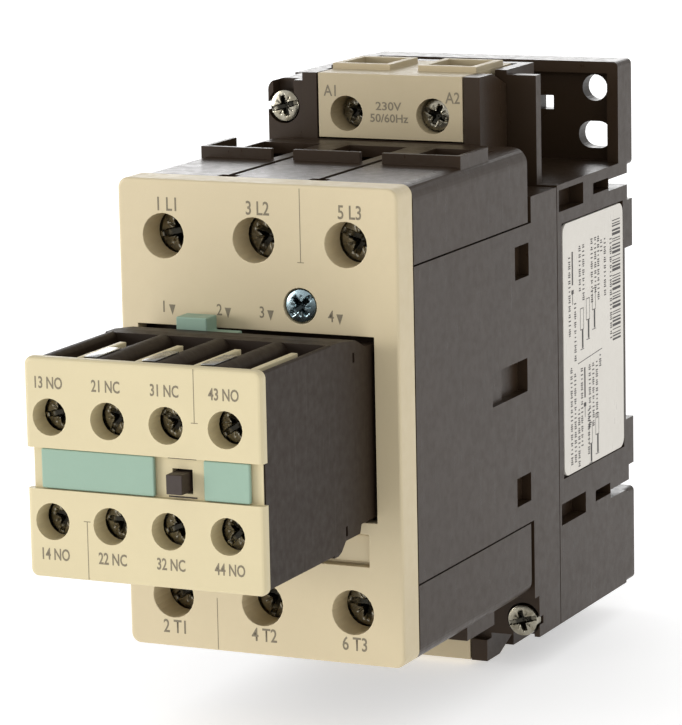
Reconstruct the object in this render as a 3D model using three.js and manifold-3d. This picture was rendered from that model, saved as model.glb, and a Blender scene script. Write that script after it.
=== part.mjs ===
// A three pole contactor for a 35 mm rail, with a four pole auxiliary block clipped to its front.
//
// Millimetres. +X is to the right seen from the front, -Y is the front and +Z is up.
// The origin is the middle of the rail seat, the flat face that rests against the rail.
// Depths are distances in front of the rail seat, so a depth of d lies at y = -d.

import * as THREE from 'three';
import { mergeVertices } from 'three/addons/utils/BufferGeometryUtils.js';
import Module from 'manifold-3d';

const wasm = await Module();
wasm.setup();

// ---------------------------------------------------------------- driving dimensions

const gap = 0.3; // clearance between pieces that lie against each other
const past = 1; // how far a cutting shape runs past the face it cuts
const roundSides = 24; // sides of a round hole or boss

// The poles and the body around them.
const poleCount = 3;
const polePitch = 18;
const poleRowShift = -0.5; // the pole row sits slightly left of the middle
const sideAllowance = 0.5; // the body past the outer poles' half pitch
const bodyWall = 2.4;
const poleBarrier = 4.2; // wall between two pole chambers

// How deep the parts are, one in front of the other.
const railRecess = 4.2; // rear plane to the rail seat
const seamDepth = 36.1; // rail seat to the joint of the base and the front housing
const panelThickness = 13.3; // the front housing's panel behind the terminals
const terminalStandOff = 1.5; // panel to the rear of a terminal block
const terminalDepth = 52.9;
const coverDepth = 6.8;
const auxDepth = 44.7; // face of the cover to the face of the auxiliary block

// Heights above and below the middle of the body.
const bodyMid = 1.0; // the body's own middle lies this far above the rail's
const baseHalfHeight = 34; // body mid to the shelf above and below
const upperPlateHeight = 20.2;
const lowerPlateHeight = 18.3;
const terminalHalfHeight = 43.2; // body mid to the outer face of a terminal block
const terminalHeight = 14.2;
const screwInset = 10.05; // outer face of a terminal block to its screw axes

// The 35 mm rail and the hooks on it.
const railHeight = 35;
const railThickness = 1;
const hookOverhang = 1.3;
const hookHalfLength = 20;
const sliderHalfWidth = 9;
const sliderHeight = 6.4;
const sliderEndWall = 0.6;

// Main terminals.
const screwHeadRadius = 4.3; // wider than its hole in the cover, which keeps the screw in
const screwHeadThickness = 2.9;
const screwShankRadius = 2.5;
const screwHoleRadius = 4.1;
const clampHalfWidth = 6.2;
const clampHeight = 11;
const clampSideWall = 1.6;
const clampFrontWall = 4;
const clampRearWall = 2.7;
const clampWindow = 24.5; // depth of the clamp's opening for the wire
const clampTravel = 5;

// Main contacts.
const contactStroke = 6;
const barHalfWidth = 4;
const barThickness = 2.5;
const barStandOff = 12.1; // rear of a terminal block to its contact bars
const tipThickness = 1;
const tipHeight = 5;
const tipOffset = 10.5; // body mid to the middle of a contact tip
const bridgeThickness = 1.6;
const bridgeHalfWidth = 3.7;

// Auxiliary block.
const auxCount = 4;
const auxRowShift = -1.1;
const auxInset = 5; // the block is this much narrower than the body on each side
const auxEndMargin = 5.8; // side face to the axis of an outer pole
const auxFaceTop = 19.9;
const auxFaceBottom = -18.5;
const auxHeadRadius = 3.35;
const auxHoleRadius = 3.25;
const auxScrewHigh = 9.6;
const auxScrewLow = -8.6;
const plungerX = 6.7;
const plungerHalfWidth = 1.5;
const plungerHalfHeight = 1.7;

// ---------------------------------------------------------------- places worked out from them

// The x of each pole of a row, from left to right.
function rowOf(count, pitch, shift) {
  const xs = [];
  for (let pole = 0; pole < count; pole += 1) {
    xs.push(shift + (pole - (count - 1) / 2) * pitch);
  }
  return xs;
}

const width = poleCount * polePitch + 2 * sideAllowance;
const halfWidth = width / 2;
const auxHalfWidth = halfWidth - auxInset;
const poleXs = rowOf(poleCount, polePitch, poleRowShift);
const auxXs = rowOf(auxCount, 2 * (auxHalfWidth - auxEndMargin) / (auxCount - 1), auxRowShift);
const chamberHalfWidth = (polePitch - poleBarrier) / 2;

const bodyTop = bodyMid + baseHalfHeight;
const bodyBottom = bodyMid - baseHalfHeight;
const plateTop = bodyTop + upperPlateHeight;
const plateBottom = bodyBottom - lowerPlateHeight;
const chamberHalfHeight = terminalHalfHeight - terminalHeight - gap / 2;
const terminalScrewHeight = terminalHalfHeight - screwInset; // body mid to the screw axes
const coverTop = bodyMid + terminalHalfHeight + 0.2;
const coverBottom = bodyMid - terminalHalfHeight + 0.5;

const panelFrontDepth = seamDepth + panelThickness;
const terminalRearDepth = panelFrontDepth + terminalStandOff;
const chamberFrontDepth = terminalRearDepth + terminalDepth;
const coverFrontDepth = chamberFrontDepth + coverDepth;
const auxFrontDepth = coverFrontDepth + auxDepth;
const coverPlate = 3;
const coverRearDepth = chamberFrontDepth + gap;
const coverPlateRear = coverFrontDepth - coverPlate;
const barRearDepth = terminalRearDepth + barStandOff;
const barFrontDepth = barRearDepth + barThickness;
const tipFaceDepth = barFrontDepth + tipThickness;
const bridgeTipDepth = tipFaceDepth + contactStroke + 0.1;
const bridgeRearDepth = bridgeTipDepth + tipThickness;
const clampRearDepth = terminalRearDepth + bodyWall + gap + 0.5;
const clampFrontDepth = clampRearDepth + clampRearWall + clampWindow + clampFrontWall;

// ---------------------------------------------------------------- solid helpers

function solidOf(geometry) {
  const bare = new THREE.BufferGeometry();
  bare.setAttribute('position', geometry.getAttribute('position'));
  bare.setIndex(geometry.index);
  const merged = mergeVertices(bare, 1e-5);
  return new wasm.Manifold(new wasm.Mesh({
    numProp: 3,
    vertProperties: Float32Array.from(merged.getAttribute('position').array),
    triVerts: Uint32Array.from(merged.index.array),
  }));
}

// A block between two values of x, two of y and two of z.
function block([x0, x1], [y0, y1], [z0, z1]) {
  const geometry = new THREE.BoxGeometry(x1 - x0, Math.abs(y1 - y0), z1 - z0);
  geometry.translate((x0 + x1) / 2, (y0 + y1) / 2, (z0 + z1) / 2);
  return solidOf(geometry);
}

// A block between two depths, from the rear one to the front one.
function slab(xs, rearDepth, frontDepth, zs) {
  return block(xs, [-frontDepth, -rearDepth], zs);
}

// The same pocket sunk into the left and the right side of a body.
function sideCuts(deep, rearDepth, frontDepth, zs, bodyHalfWidth = halfWidth) {
  const right = slab([bodyHalfWidth - deep, bodyHalfWidth + past], rearDepth, frontDepth, zs);
  return [right, right.mirror([1, 0, 0])];
}

// A round bar along Y between two depths.
function rod(x, z, radius, rearDepth, frontDepth, sides = roundSides) {
  const geometry = new THREE.CylinderGeometry(radius, radius, frontDepth - rearDepth, sides);
  geometry.translate(x, -(rearDepth + frontDepth) / 2, z);
  return solidOf(geometry);
}

// A ring or stepped bar along Y: [radius, depth] points turned about its axis.
function turned(x, z, profile, sides = roundSides) {
  const points = profile.map(([radius, depth]) => new THREE.Vector2(radius, -depth));
  const geometry = new THREE.LatheGeometry(points, sides);
  geometry.translate(x, 0, z);
  return solidOf(geometry);
}

function outline(points) {
  const shape = new THREE.Shape();
  shape.setFromPoints(points.map(([u, v]) => new THREE.Vector2(u, v)));
  return shape;
}

// A rectangle with rounded corners in the front view.
function roundedRectangle([x0, x1], [z0, z1], radius) {
  const shape = new THREE.Shape();
  shape.moveTo(x0 + radius, z0);
  shape.lineTo(x1 - radius, z0);
  shape.absarc(x1 - radius, z0 + radius, radius, -Math.PI / 2, 0);
  shape.lineTo(x1, z1 - radius);
  shape.absarc(x1 - radius, z1 - radius, radius, 0, Math.PI / 2);
  shape.lineTo(x0 + radius, z1);
  shape.absarc(x0 + radius, z1 - radius, radius, Math.PI / 2, Math.PI);
  shape.lineTo(x0, z0 + radius);
  shape.absarc(x0 + radius, z0 + radius, radius, Math.PI, Math.PI * 1.5);
  return shape;
}

// A front view outline (x, z) carried from a rear depth to a front depth.
function frontPrism(shape, rearDepth, frontDepth, curveSegments = 5) {
  const geometry = new THREE.ExtrudeGeometry(shape, {
    depth: frontDepth - rearDepth,
    bevelEnabled: false,
    curveSegments,
  });
  geometry.rotateX(Math.PI / 2);
  geometry.translate(0, -rearDepth, 0);
  return solidOf(geometry);
}

// The same with a small round along its front edge.
function softPrism(shape, rearDepth, frontDepth, edge, curveSegments = 5) {
  const geometry = new THREE.ExtrudeGeometry(shape, {
    depth: frontDepth - rearDepth - edge,
    bevelThickness: edge,
    bevelSize: edge,
    bevelOffset: -edge,
    bevelSegments: 3,
    curveSegments,
  });
  geometry.rotateX(Math.PI / 2);
  geometry.translate(0, -rearDepth, 0);
  const rearCut = block([-999, 999], [-rearDepth, -rearDepth + 2 * edge], [-999, 999]);
  return solidOf(geometry).subtract(rearCut);
}

// A side view outline (y, z) carried between two values of x.
function sidePrism(points, [x0, x1]) {
  const geometry = new THREE.ExtrudeGeometry(outline(points), { depth: x1 - x0, bevelEnabled: false });
  const axes = new THREE.Matrix4().makeBasis(
    new THREE.Vector3(0, 1, 0),
    new THREE.Vector3(0, 0, 1),
    new THREE.Vector3(1, 0, 0),
  );
  geometry.applyMatrix4(axes);
  geometry.translate(x0, 0, 0);
  return solidOf(geometry);
}

function joined(solids) {
  return solids.reduce((whole, solid) => whole.add(solid));
}

function cutFrom(solid, cutters) {
  return cutters.length ? solid.subtract(joined(cutters)) : solid;
}

// The same solid seen in a level mirror, for what is alike above and below.
function flipped(solid, aboutHeight = bodyMid) {
  return solid.mirror([0, 0, 1]).translate([0, 0, 2 * aboutHeight]);
}

// ---------------------------------------------------------------- materials

const darkPlastic = new THREE.MeshStandardMaterial({ color: 0x3a3330, roughness: 0.6 });
const innerPlastic = new THREE.MeshStandardMaterial({ color: 0x2c2826, roughness: 0.7 });
const creamPlastic = new THREE.MeshStandardMaterial({ color: 0xe6dcc3, roughness: 0.5 });
const auxCream = new THREE.MeshStandardMaterial({ color: 0xe9dfb8, roughness: 0.5 });
const coilCream = new THREE.MeshStandardMaterial({ color: 0xc9ba98, roughness: 0.55 });
const tealPlastic = new THREE.MeshStandardMaterial({ color: 0x9cc4b2, roughness: 0.5 });
const labelFilm = new THREE.MeshStandardMaterial({ color: 0xeceae2, roughness: 0.6 });
const zincSteel = new THREE.MeshStandardMaterial({ color: 0x8f918c, roughness: 0.35, metalness: 1 });
const blueZinc = new THREE.MeshStandardMaterial({ color: 0x7f97a3, roughness: 0.3, metalness: 1 });
const coreSteel = new THREE.MeshStandardMaterial({ color: 0x6d6a66, roughness: 0.5, metalness: 1 });
const copperAlloy = new THREE.MeshStandardMaterial({ color: 0xb87848, roughness: 0.35, metalness: 1 });
const copperWire = new THREE.MeshStandardMaterial({ color: 0x9a5630, roughness: 0.45, metalness: 1 });
const bobbinPlastic = new THREE.MeshStandardMaterial({ color: 0xb9b2a0, roughness: 0.6 });
const springSteel = new THREE.MeshStandardMaterial({ color: 0xa3a5a6, roughness: 0.3, metalness: 1 });

const contactor = new THREE.Group();

function addPiece(name, solid, material) {
  const mesh = solid.getMesh();
  const geometry = new THREE.BufferGeometry();
  geometry.setAttribute('position', new THREE.BufferAttribute(mesh.vertProperties, 3));
  geometry.setIndex(new THREE.BufferAttribute(mesh.triVerts, 1));
  geometry.computeVertexNormals();
  const piece = new THREE.Mesh(geometry, material);
  piece.name = name;
  contactor.add(piece);
}

// ---------------------------------------------------------------- rear base

const sides = [-halfWidth, halfWidth];
const rearPlane = railRecess; // y of the rearmost faces
const railTop = railHeight / 2;
const stepDepth = 2.7; // the steps beside the hooks lie this far in front of the rear plane
const slotHeight = 2.3;
const slotDepth = 10.3;
const hookHeight = 9.6;
const stepHeight = 3.1;
const magnetHalfWidth = halfWidth - 4;
const magnetHalfHeight = baseHalfHeight - 7;
const magnetRearDepth = 4.5;
const towerRight = halfWidth - 10.1;
const towerLeft = -halfWidth + 7.9;
const towerRearDepth = 22.3;
const towerTop = bodyTop + 21.9;
const towerBottom = bodyBottom - 23.5;
const towerFlangeWidth = 6;
const compartmentWallWidth = 3.5;
const plateRim = 2.3;
const plateRimDepth = 3.3;
const plateFace = 0.7; // y of the plate's front face inside its rim
const panelHoles = {
  x: halfWidth - 6.4,
  roundRadius: 2.65,
  roundFromEnd: 5.7, // plate end to the round holes
  slotFromShelf: 5.1, // shelf to the oblong holes
  slotHalfWidth: 3.5,
  slotHalfHeight: 2.7,
};
const latchHole = { x: 10.7, fromShelf: 11.3, halfWidth: 1.5, halfHeight: 1.4 };

// The rail hook, step and slot of one edge of the rail, as (y, z) from the seat outwards.
function railEdgeOutline(side) {
  const from = side * railTop;
  const hookEnd = from + side * hookHeight;
  const slotStart = hookEnd + side * stepHeight;
  const slotEnd = slotStart + side * slotHeight;
  const shelf = side > 0 ? bodyTop : bodyBottom;
  return [
    [0, from],
    [rearPlane, from],
    [rearPlane, hookEnd],
    [rearPlane - stepDepth, hookEnd],
    [rearPlane - stepDepth, slotStart],
    [rearPlane - stepDepth - slotDepth, slotStart],
    [rearPlane - stepDepth - slotDepth, slotEnd],
    [rearPlane - stepDepth, slotEnd],
    [rearPlane - stepDepth, shelf],
  ];
}

function baseBody() {
  const upper = railEdgeOutline(1);
  const lower = railEdgeOutline(-1).reverse();
  const front = [[-seamDepth, bodyTop], [-seamDepth, bodyBottom]];
  return sidePrism([...lower, ...upper, ...front].reverse(), sides);
}

// The back plate above or below the body, with its rim and its four panel screw holes.
function backPlate(side) {
  const shelf = side > 0 ? bodyTop : bodyBottom;
  const end = side > 0 ? plateTop : plateBottom;
  const span = side > 0 ? [shelf - past, end] : [end, shelf + past];
  const inner = side > 0 ? [shelf, end - plateRim] : [end + plateRim, shelf];
  const plate = frontPrism(roundedRectangle(sides, span, 1), -rearPlane, plateRimDepth);
  const recessXs = [-halfWidth + plateRim, halfWidth - plateRim];
  const recess = slab(recessXs, -plateFace, plateRimDepth + past, inner);
  return cutFrom(plate, [recess, ...backPlateHoles(side, shelf, end)]);
}

// A round and an oblong screw hole at each side, and the small square latch hole.
function backPlateHoles(side, shelf, end) {
  const { slotHalfWidth, slotHalfHeight } = panelHoles;
  const rear = -rearPlane - past;
  const slotZ = shelf + side * panelHoles.slotFromShelf;
  const slotZs = [slotZ - slotHalfHeight, slotZ + slotHalfHeight];
  const latchZ = shelf + side * latchHole.fromShelf;
  const holes = [slab(
    [latchHole.x - latchHole.halfWidth, latchHole.x + latchHole.halfWidth],
    rear,
    past,
    [latchZ - latchHole.halfHeight, latchZ + latchHole.halfHeight],
  )];
  for (const x of [-panelHoles.x, panelHoles.x]) {
    const slot = roundedRectangle([x - slotHalfWidth, x + slotHalfWidth], slotZs, slotHalfHeight - 0.1);
    holes.push(rod(x, end - side * panelHoles.roundFromEnd, panelHoles.roundRadius, rear, past));
    holes.push(frontPrism(slot, rear, past, 3));
  }
  return holes;
}

// The closed side wall of a compartment: on the left above, and on the right below.
function compartmentWall(side) {
  const xs = side > 0
    ? [-halfWidth, -halfWidth + compartmentWallWidth]
    : [halfWidth - compartmentWallWidth, halfWidth];
  const zs = side > 0 ? [bodyTop - past, plateTop] : [plateBottom, bodyBottom + past];
  return slab(xs, -plateFace + past, seamDepth, zs);
}

// The stump that carries the coil terminals, hollow and open towards the front.
function coilTowerBase(side) {
  const shelf = side > 0 ? bodyTop : bodyBottom;
  const end = side > 0 ? towerTop : towerBottom;
  const zs = side > 0 ? [shelf - past, end] : [end, shelf + past];
  const inner = side > 0 ? [shelf, end + past] : [end - past, shelf];
  const shell = slab([towerLeft, towerRight], towerRearDepth, seamDepth, zs);
  const hollow = slab(
    [towerLeft + bodyWall, towerRight - bodyWall],
    towerRearDepth + bodyWall,
    seamDepth + past,
    inner,
  );
  return shell.subtract(hollow);
}

// A thin wall beside the tower, across from the closed side of the compartment.
function towerFlange(side) {
  const shelf = side > 0 ? bodyTop : bodyBottom;
  const end = side > 0 ? towerTop - 0.9 : towerBottom + 0.9;
  const xs = side > 0
    ? [towerRight - past, towerRight + towerFlangeWidth]
    : [towerLeft - towerFlangeWidth, towerLeft + past];
  const zs = side > 0 ? [shelf - past, end] : [end, shelf + past];
  return slab(xs, seamDepth - bodyWall, seamDepth, zs);
}

// A wide and a narrow pocket in the side walls just inside each shelf.
const shelfPockets = [
  { rear: 22.4, front: seamDepth - 0.9, halfHeight: 2.1 },
  { rear: 9, front: 17.1, halfHeight: 1.1 },
];
const shelfPocketInset = 3.2;
const shelfPocketDeep = 3;

function shelfPocketCutters(side) {
  const shelf = side > 0 ? bodyTop : bodyBottom;
  const z = shelf - side * shelfPocketInset;
  return shelfPockets.flatMap(({ rear, front, halfHeight }) => (
    sideCuts(shelfPocketDeep, rear, front, [z - halfHeight, z + halfHeight])
  ));
}

const labelRear = 1.3;
const labelFront = 33.5;
const labelLow = -22.6;
const labelHigh = 27;
const labelThickness = 0.5;

function rearBase() {
  const magnetRoom = slab(
    [-magnetHalfWidth, magnetHalfWidth],
    magnetRearDepth,
    seamDepth + past,
    [bodyMid - magnetHalfHeight, bodyMid + magnetHalfHeight],
  );
  const lowerHook = block(
    [-hookHalfLength, hookHalfLength],
    [railThickness + gap, rearPlane],
    [-railTop - past, -railTop + hookOverhang],
  );
  const sliderPocket = block(
    [-sliderHalfWidth - gap, sliderHalfWidth + gap],
    [railThickness, rearPlane + past],
    [railTop - past, railTop + hookHeight - sliderEndWall],
  );
  const labelPocket = block(
    [halfWidth - labelThickness - 0.2, halfWidth + past],
    [-labelFront - gap, -labelRear + gap],
    [labelLow - gap, labelHigh + gap],
  );
  const whole = joined([
    baseBody(),
    backPlate(1),
    backPlate(-1),
    compartmentWall(1),
    compartmentWall(-1),
    coilTowerBase(1),
    coilTowerBase(-1),
    towerFlange(1),
    towerFlange(-1),
    lowerHook,
  ]);
  const housingScrewHoles = housingScrews.map(({ x, z }) => (
    rod(x, z, longScrewHoleRadius, seamDepth - 12, seamDepth + past, 12)
  ));
  return cutFrom(whole, [
    magnetRoom,
    sliderPocket,
    labelPocket,
    ...shelfPocketCutters(1),
    ...shelfPocketCutters(-1),
    ...housingScrewHoles,
  ]);
}

// ---------------------------------------------------------------- front housing

const housingScrewX = halfWidth - 3.3;
const housingScrewOffset = baseHalfHeight + 15.1;
const housingScrews = [
  { name: 'housing_screw_upper', x: -housingScrewX, z: bodyMid + housingScrewOffset },
  { name: 'housing_screw_lower', x: housingScrewX, z: bodyMid - housingScrewOffset },
];
const longScrewHoleRadius = 1.9;
const cheekSlopeDepth = 6.8;
const cheekSlopeHeight = 2.6;
const earFrontDepth = panelFrontDepth - 1.1;
const earCorner = 2;
const earInner = halfWidth - 7.3;
const earSeatRadius = 3.4;
const earSeatDeep = 3;
const chamberFloorDepth = barRearDepth - 1.4;
const chamberFloor = 3;
const chamberTopInside = chamberHalfHeight - 3.85; // body mid to the end of the arc space
const armatureRoomHalfHeight = magnetHalfHeight - 1;
const clampSink = 2.9; // the terminal clamps reach this far into the chamber block
const ventSlot = { halfWidth: 4, low: 19, high: 22 }; // heights above the body mid

// The two cheeks beside a coil terminal block, sloping down towards the rear at their ends.
function coilFrame(side) {
  const from = side > 0 ? bodyTop - gap - past : bodyBottom + gap + past;
  const end = side > 0 ? towerTop : towerBottom;
  const slopeStart = seamDepth + gap + cheekSlopeDepth;
  const points = [
    [-panelFrontDepth, from],
    [-seamDepth - gap, from],
    [-seamDepth - gap, end - side * cheekSlopeHeight],
    [-slopeStart, end],
    [-panelFrontDepth, end],
  ];
  return sidePrism(side > 0 ? points : points.reverse(), [towerLeft, towerRight]);
}

// The room for a coil terminal block, open at its outer end, its front and its rear.
function coilBlockRoom(side) {
  const zs = [coilBlockInner, towerTop + past];
  const upper = slab([coilLeft - gap, coilRight + gap], seamDepth - past, panelFrontDepth + past, zs);
  return side > 0 ? upper : flipped(upper, coilBlockMid);
}

// The corner ears that hold the two long housing screws.
function housingEar({ x, z }) {
  const xs = x < 0 ? [-halfWidth, towerLeft + past] : [towerRight - past, halfWidth];
  const zs = z > 0 ? [bodyTop - 3, plateTop] : [plateBottom, bodyBottom + 3];
  return frontPrism(roundedRectangle(xs, zs, earCorner), seamDepth + gap, earFrontDepth, 3);
}

// A round seat for the screw's head, open to the end of the ear, and the hole for its shank.
function housingScrewSeat({ x, z }) {
  const seatFloor = earFrontDepth - earSeatDeep;
  const zs = z > 0 ? [z, plateTop + past] : [plateBottom - past, z];
  return [
    rod(x, z, earSeatRadius, seatFloor, panelFrontDepth + past),
    slab([x - earSeatRadius + 1.2, x + earSeatRadius - 1.2], seatFloor, panelFrontDepth + past, zs),
    rod(x, z, longScrewHoleRadius, seamDepth - past, panelFrontDepth, 12),
  ];
}

// Shallow pockets in both side walls where a side block could be clipped on. The middle one
// is deeper at its rear end.
const sidePocketDeep = 2;
const sidePockets = [
  { rear: 1.3, front: 8.1, low: 18.9, high: 25.2, deep: sidePocketDeep },
  { rear: 2.5, front: 19.5, low: -3.1, high: 3.3, deep: sidePocketDeep / 2 },
  { rear: 2.5, front: 12.9, low: -3.1, high: 3.3, deep: sidePocketDeep },
  { rear: 1.3, front: 8.2, low: -24.5, high: -19, deep: sidePocketDeep },
];

function sidePocketCutters() {
  return sidePockets.flatMap(({ rear, front, low, high, deep }) => sideCuts(
    deep,
    panelFrontDepth + rear,
    panelFrontDepth + front,
    [bodyMid + low, bodyMid + high],
  ));
}

function poleChamberCutters(x) {
  const xs = [x - chamberHalfWidth, x + chamberHalfWidth];
  const arcSpace = slab(
    xs,
    chamberFloorDepth,
    chamberFrontDepth - bodyWall,
    [bodyMid - chamberTopInside, bodyMid + chamberTopInside],
  );
  const postWay = slab(
    [x - carrierPostHalfWidth - gap, x + carrierPostHalfWidth + gap],
    chamberFloorDepth - chamberFloor - past,
    chamberFloorDepth + past,
    [bodyMid - carrierPostHalfHeight - gap, bodyMid + carrierPostHalfHeight + gap],
  );
  const vent = slab(
    [x - ventSlot.halfWidth, x + ventSlot.halfWidth],
    chamberFrontDepth - bodyWall - past,
    chamberFrontDepth + past,
    [bodyMid + ventSlot.low, bodyMid + ventSlot.high],
  );
  const clampRoom = slab(
    [x - clampHalfWidth - gap, x + clampHalfWidth + gap],
    terminalRearDepth + bodyWall,
    clampFrontDepth + clampTravel + 1,
    [bodyMid + chamberHalfHeight - clampSink, bodyMid + chamberHalfHeight + past],
  );
  const barWay = slab(
    [x - barHalfWidth - gap, x + barHalfWidth + gap],
    barRearDepth - gap,
    barFrontDepth + gap,
    [bodyMid + chamberTopInside - past, bodyMid + chamberHalfHeight + past],
  );
  const upper = [clampRoom, barWay, vent];
  return [arcSpace, postWay, ...upper, ...upper.map((solid) => flipped(solid))];
}

function frontHousing() {
  const chamberZ = [bodyMid - chamberHalfHeight + gap / 2, bodyMid + chamberHalfHeight - gap / 2];
  const chamber = slab(sides, panelFrontDepth - past, chamberFrontDepth, chamberZ);
  const panel = slab(sides, seamDepth + gap, panelFrontDepth, [plateBottom, bodyTop - gap]);
  const whole = joined([
    chamber,
    panel,
    coilFrame(1),
    coilFrame(-1),
    ...housingScrews.map(housingEar),
  ]);
  const armatureRoom = slab(
    [carrierXs[0] - 2 * gap, carrierXs[1] + 2 * gap],
    seamDepth - past,
    chamberFloorDepth - chamberFloor,
    [bodyMid - armatureRoomHalfHeight, bodyMid + armatureRoomHalfHeight],
  );
  const linkWay = slab(
    [linkX - linkHalfWidth - gap, linkX + linkHalfWidth + gap],
    chamberFrontDepth - bodyWall - past,
    chamberFrontDepth + past,
    [bodyMid - linkHalfHeight - gap, bodyMid + linkHalfHeight + gap],
  );
  const coverScrewHoles = coverScrews.map(({ x, z }) => (
    rod(x, z, longScrewHoleRadius, chamberFrontDepth - 8, chamberFrontDepth + past, 12)
  ));
  const lowerCorner = slab(
    [earInner - 7, halfWidth + past],
    earFrontDepth - 1.1,
    panelFrontDepth + past,
    [plateBottom - past, plateBottom + 8.2],
  );
  return cutFrom(whole, [
    armatureRoom,
    coilBlockRoom(1),
    coilBlockRoom(-1),
    linkWay,
    lowerCorner,
    ...coverScrewHoles,
    ...poleXs.flatMap(poleChamberCutters),
    ...housingScrews.flatMap(housingScrewSeat),
    ...sidePocketCutters(),
  ]);
}

// ---------------------------------------------------------------- terminal blocks

const wireHalfWidth = 6;
const wireRearDepth = terminalRearDepth + 5.9;
const wireFrontDepth = terminalRearDepth + 27.5;
const mainHeadDepth = coverRearDepth - gap / 2;
const headRoomRear = mainHeadDepth - screwHeadThickness - gap;
const rimThickness = 1;
const rimHeight = 2;
const rimHalfLength = 6.8;
const rimRearDepth = wireFrontDepth + 0.3;
const rimFrontDepth = rimRearDepth + rimThickness;
const rimArmRearDepth = terminalRearDepth + 15.8;

// The raised bar in front of each wire entry, with an arm back along the outer side walls.
function wireRim(poleIndex, top) {
  const x = poleXs[poleIndex];
  const first = poleIndex === 0;
  const last = poleIndex === poleCount - 1;
  const outer = halfWidth - rimThickness - 0.2;
  const from = first ? -outer : x - rimHalfLength;
  const to = last ? outer : x + rimHalfLength;
  const zs = [top - past, top + rimHeight];
  const pieces = [slab([from, to], rimRearDepth, rimFrontDepth, zs)];
  if (first) {
    pieces.push(slab([from, from + rimThickness], rimArmRearDepth, rimFrontDepth, zs));
  }
  if (last) {
    pieces.push(slab([to - rimThickness, to], rimArmRearDepth, rimFrontDepth, zs));
  }
  return pieces;
}

function terminalCutters(x, low, top) {
  const axis = bodyMid + terminalScrewHeight;
  return [
    slab(
      [x - clampHalfWidth - gap, x + clampHalfWidth + gap],
      terminalRearDepth + bodyWall,
      clampFrontDepth + clampTravel + 1,
      [low - past, top - 2.2],
    ),
    rod(x, axis, screwShankRadius + gap, clampFrontDepth, chamberFrontDepth + past),
    rod(x, axis, screwHeadRadius + gap, headRoomRear, chamberFrontDepth + past),
    slab([x - wireHalfWidth, x + wireHalfWidth], wireRearDepth, wireFrontDepth, [top - 3, top + past]),
  ];
}

// The thin groove between two poles, widened to a notch at the cover.
function barrierGrooves(x, top) {
  const front = chamberFrontDepth + past;
  return [
    slab([x - 0.6, x + 0.6], rimArmRearDepth, front, [top - 1.2, top + past]),
    slab([x - 1.8, x + 1.8], chamberFrontDepth - 3, front, [top - 2, top + past]),
  ];
}

function terminalBlock() {
  const low = bodyMid + chamberHalfHeight + gap / 2;
  const top = bodyMid + terminalHalfHeight;
  const corner = 3;
  const shape = roundedRectangle(sides, [low - corner, top], corner);
  const whole = frontPrism(shape, terminalRearDepth, chamberFrontDepth, 4);
  const below = slab(
    [-halfWidth - past, halfWidth + past],
    terminalRearDepth - past,
    chamberFrontDepth + past,
    [low - corner - past, low],
  );
  const rims = poleXs.flatMap((x, index) => wireRim(index, top));
  const barrierXs = poleXs.slice(1).map((x) => x - polePitch / 2);
  return cutFrom(joined([whole.subtract(below), ...rims]), [
    ...poleXs.flatMap((x) => terminalCutters(x, low, top)),
    ...barrierXs.flatMap((x) => barrierGrooves(x, top)),
  ]);
}

// ---------------------------------------------------------------- front cover

const coverCorner = 1.9;
const coverEdge = 0.5;
const coverSleeveWall = 0.9;
const coverWall = 1.8;
const coverScrewX = 8.4;
const coverScrewOffset = 21.8;
const coverScrews = [
  { name: 'cover_screw_upper', x: coverScrewX, z: bodyMid + coverScrewOffset },
  { name: 'cover_screw_lower', x: -coverScrewX - 1, z: bodyMid - coverScrewOffset },
];
const coverHeadRadius = 2.95;
const windowClearLeft = 2.2;
const windowClearRight = 0.7;
const windowTop = auxFaceTop - 1.9;
const windowBottom = auxFaceBottom + 3;
const insertLeft = -3;
const insertRight = 20.9;
const insertLow = bodyMid - 24.6;
const insertHigh = bodyMid - 18.7;
const insertThickness = 0.8;
const insertSunk = 1.2; // the plate lies this far behind the cover's face
const auxHousingHalfWidth = auxHalfWidth - 0.6;

function frontCover() {
  const shape = roundedRectangle(sides, [coverBottom, coverTop], coverCorner);
  const shell = softPrism(shape, coverRearDepth, coverFrontDepth, coverEdge);
  const inside = slab(
    [-halfWidth + coverWall, halfWidth - coverWall],
    coverRearDepth - past,
    coverPlateRear,
    [coverBottom + coverWall, coverTop - coverWall],
  );
  const window = slab(
    [-auxHousingHalfWidth - windowClearLeft, auxHousingHalfWidth + windowClearRight],
    coverRearDepth,
    coverFrontDepth + past,
    [windowBottom, windowTop],
  );
  const insertSeat = slab(
    [insertLeft, insertRight],
    coverFrontDepth - insertSunk - insertThickness - gap,
    coverFrontDepth + past,
    [insertLow, insertHigh],
  );
  const sleeves = [];
  const cutters = [window, insertSeat];
  for (const x of poleXs) {
    for (const side of [1, -1]) {
      const z = bodyMid + side * terminalScrewHeight;
      const sleeveRadius = screwHoleRadius + coverSleeveWall;
      sleeves.push(rod(x, z, sleeveRadius, coverRearDepth, coverPlateRear + 0.5));
      cutters.push(rod(x, z, screwHoleRadius, coverRearDepth - past, coverFrontDepth + past));
    }
  }
  for (const { x, z } of coverScrews) {
    cutters.push(rod(x, z, coverHeadRadius + gap, coverFrontDepth - 2, coverFrontDepth + past));
    cutters.push(rod(x, z, longScrewHoleRadius, coverRearDepth, coverFrontDepth, 12));
  }
  return cutFrom(joined([shell.subtract(inside), ...sleeves]), cutters);
}

// The blank plate for the user's own mark, clipped into its seat below the window.
function coverInsert() {
  return slab(
    [insertLeft + gap, insertRight - gap],
    coverFrontDepth - insertSunk - insertThickness,
    coverFrontDepth - insertSunk,
    [insertLow + 2 * gap, insertHigh - gap],
  );
}

// ---------------------------------------------------------------- screws

const screwSides = 16;

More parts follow.
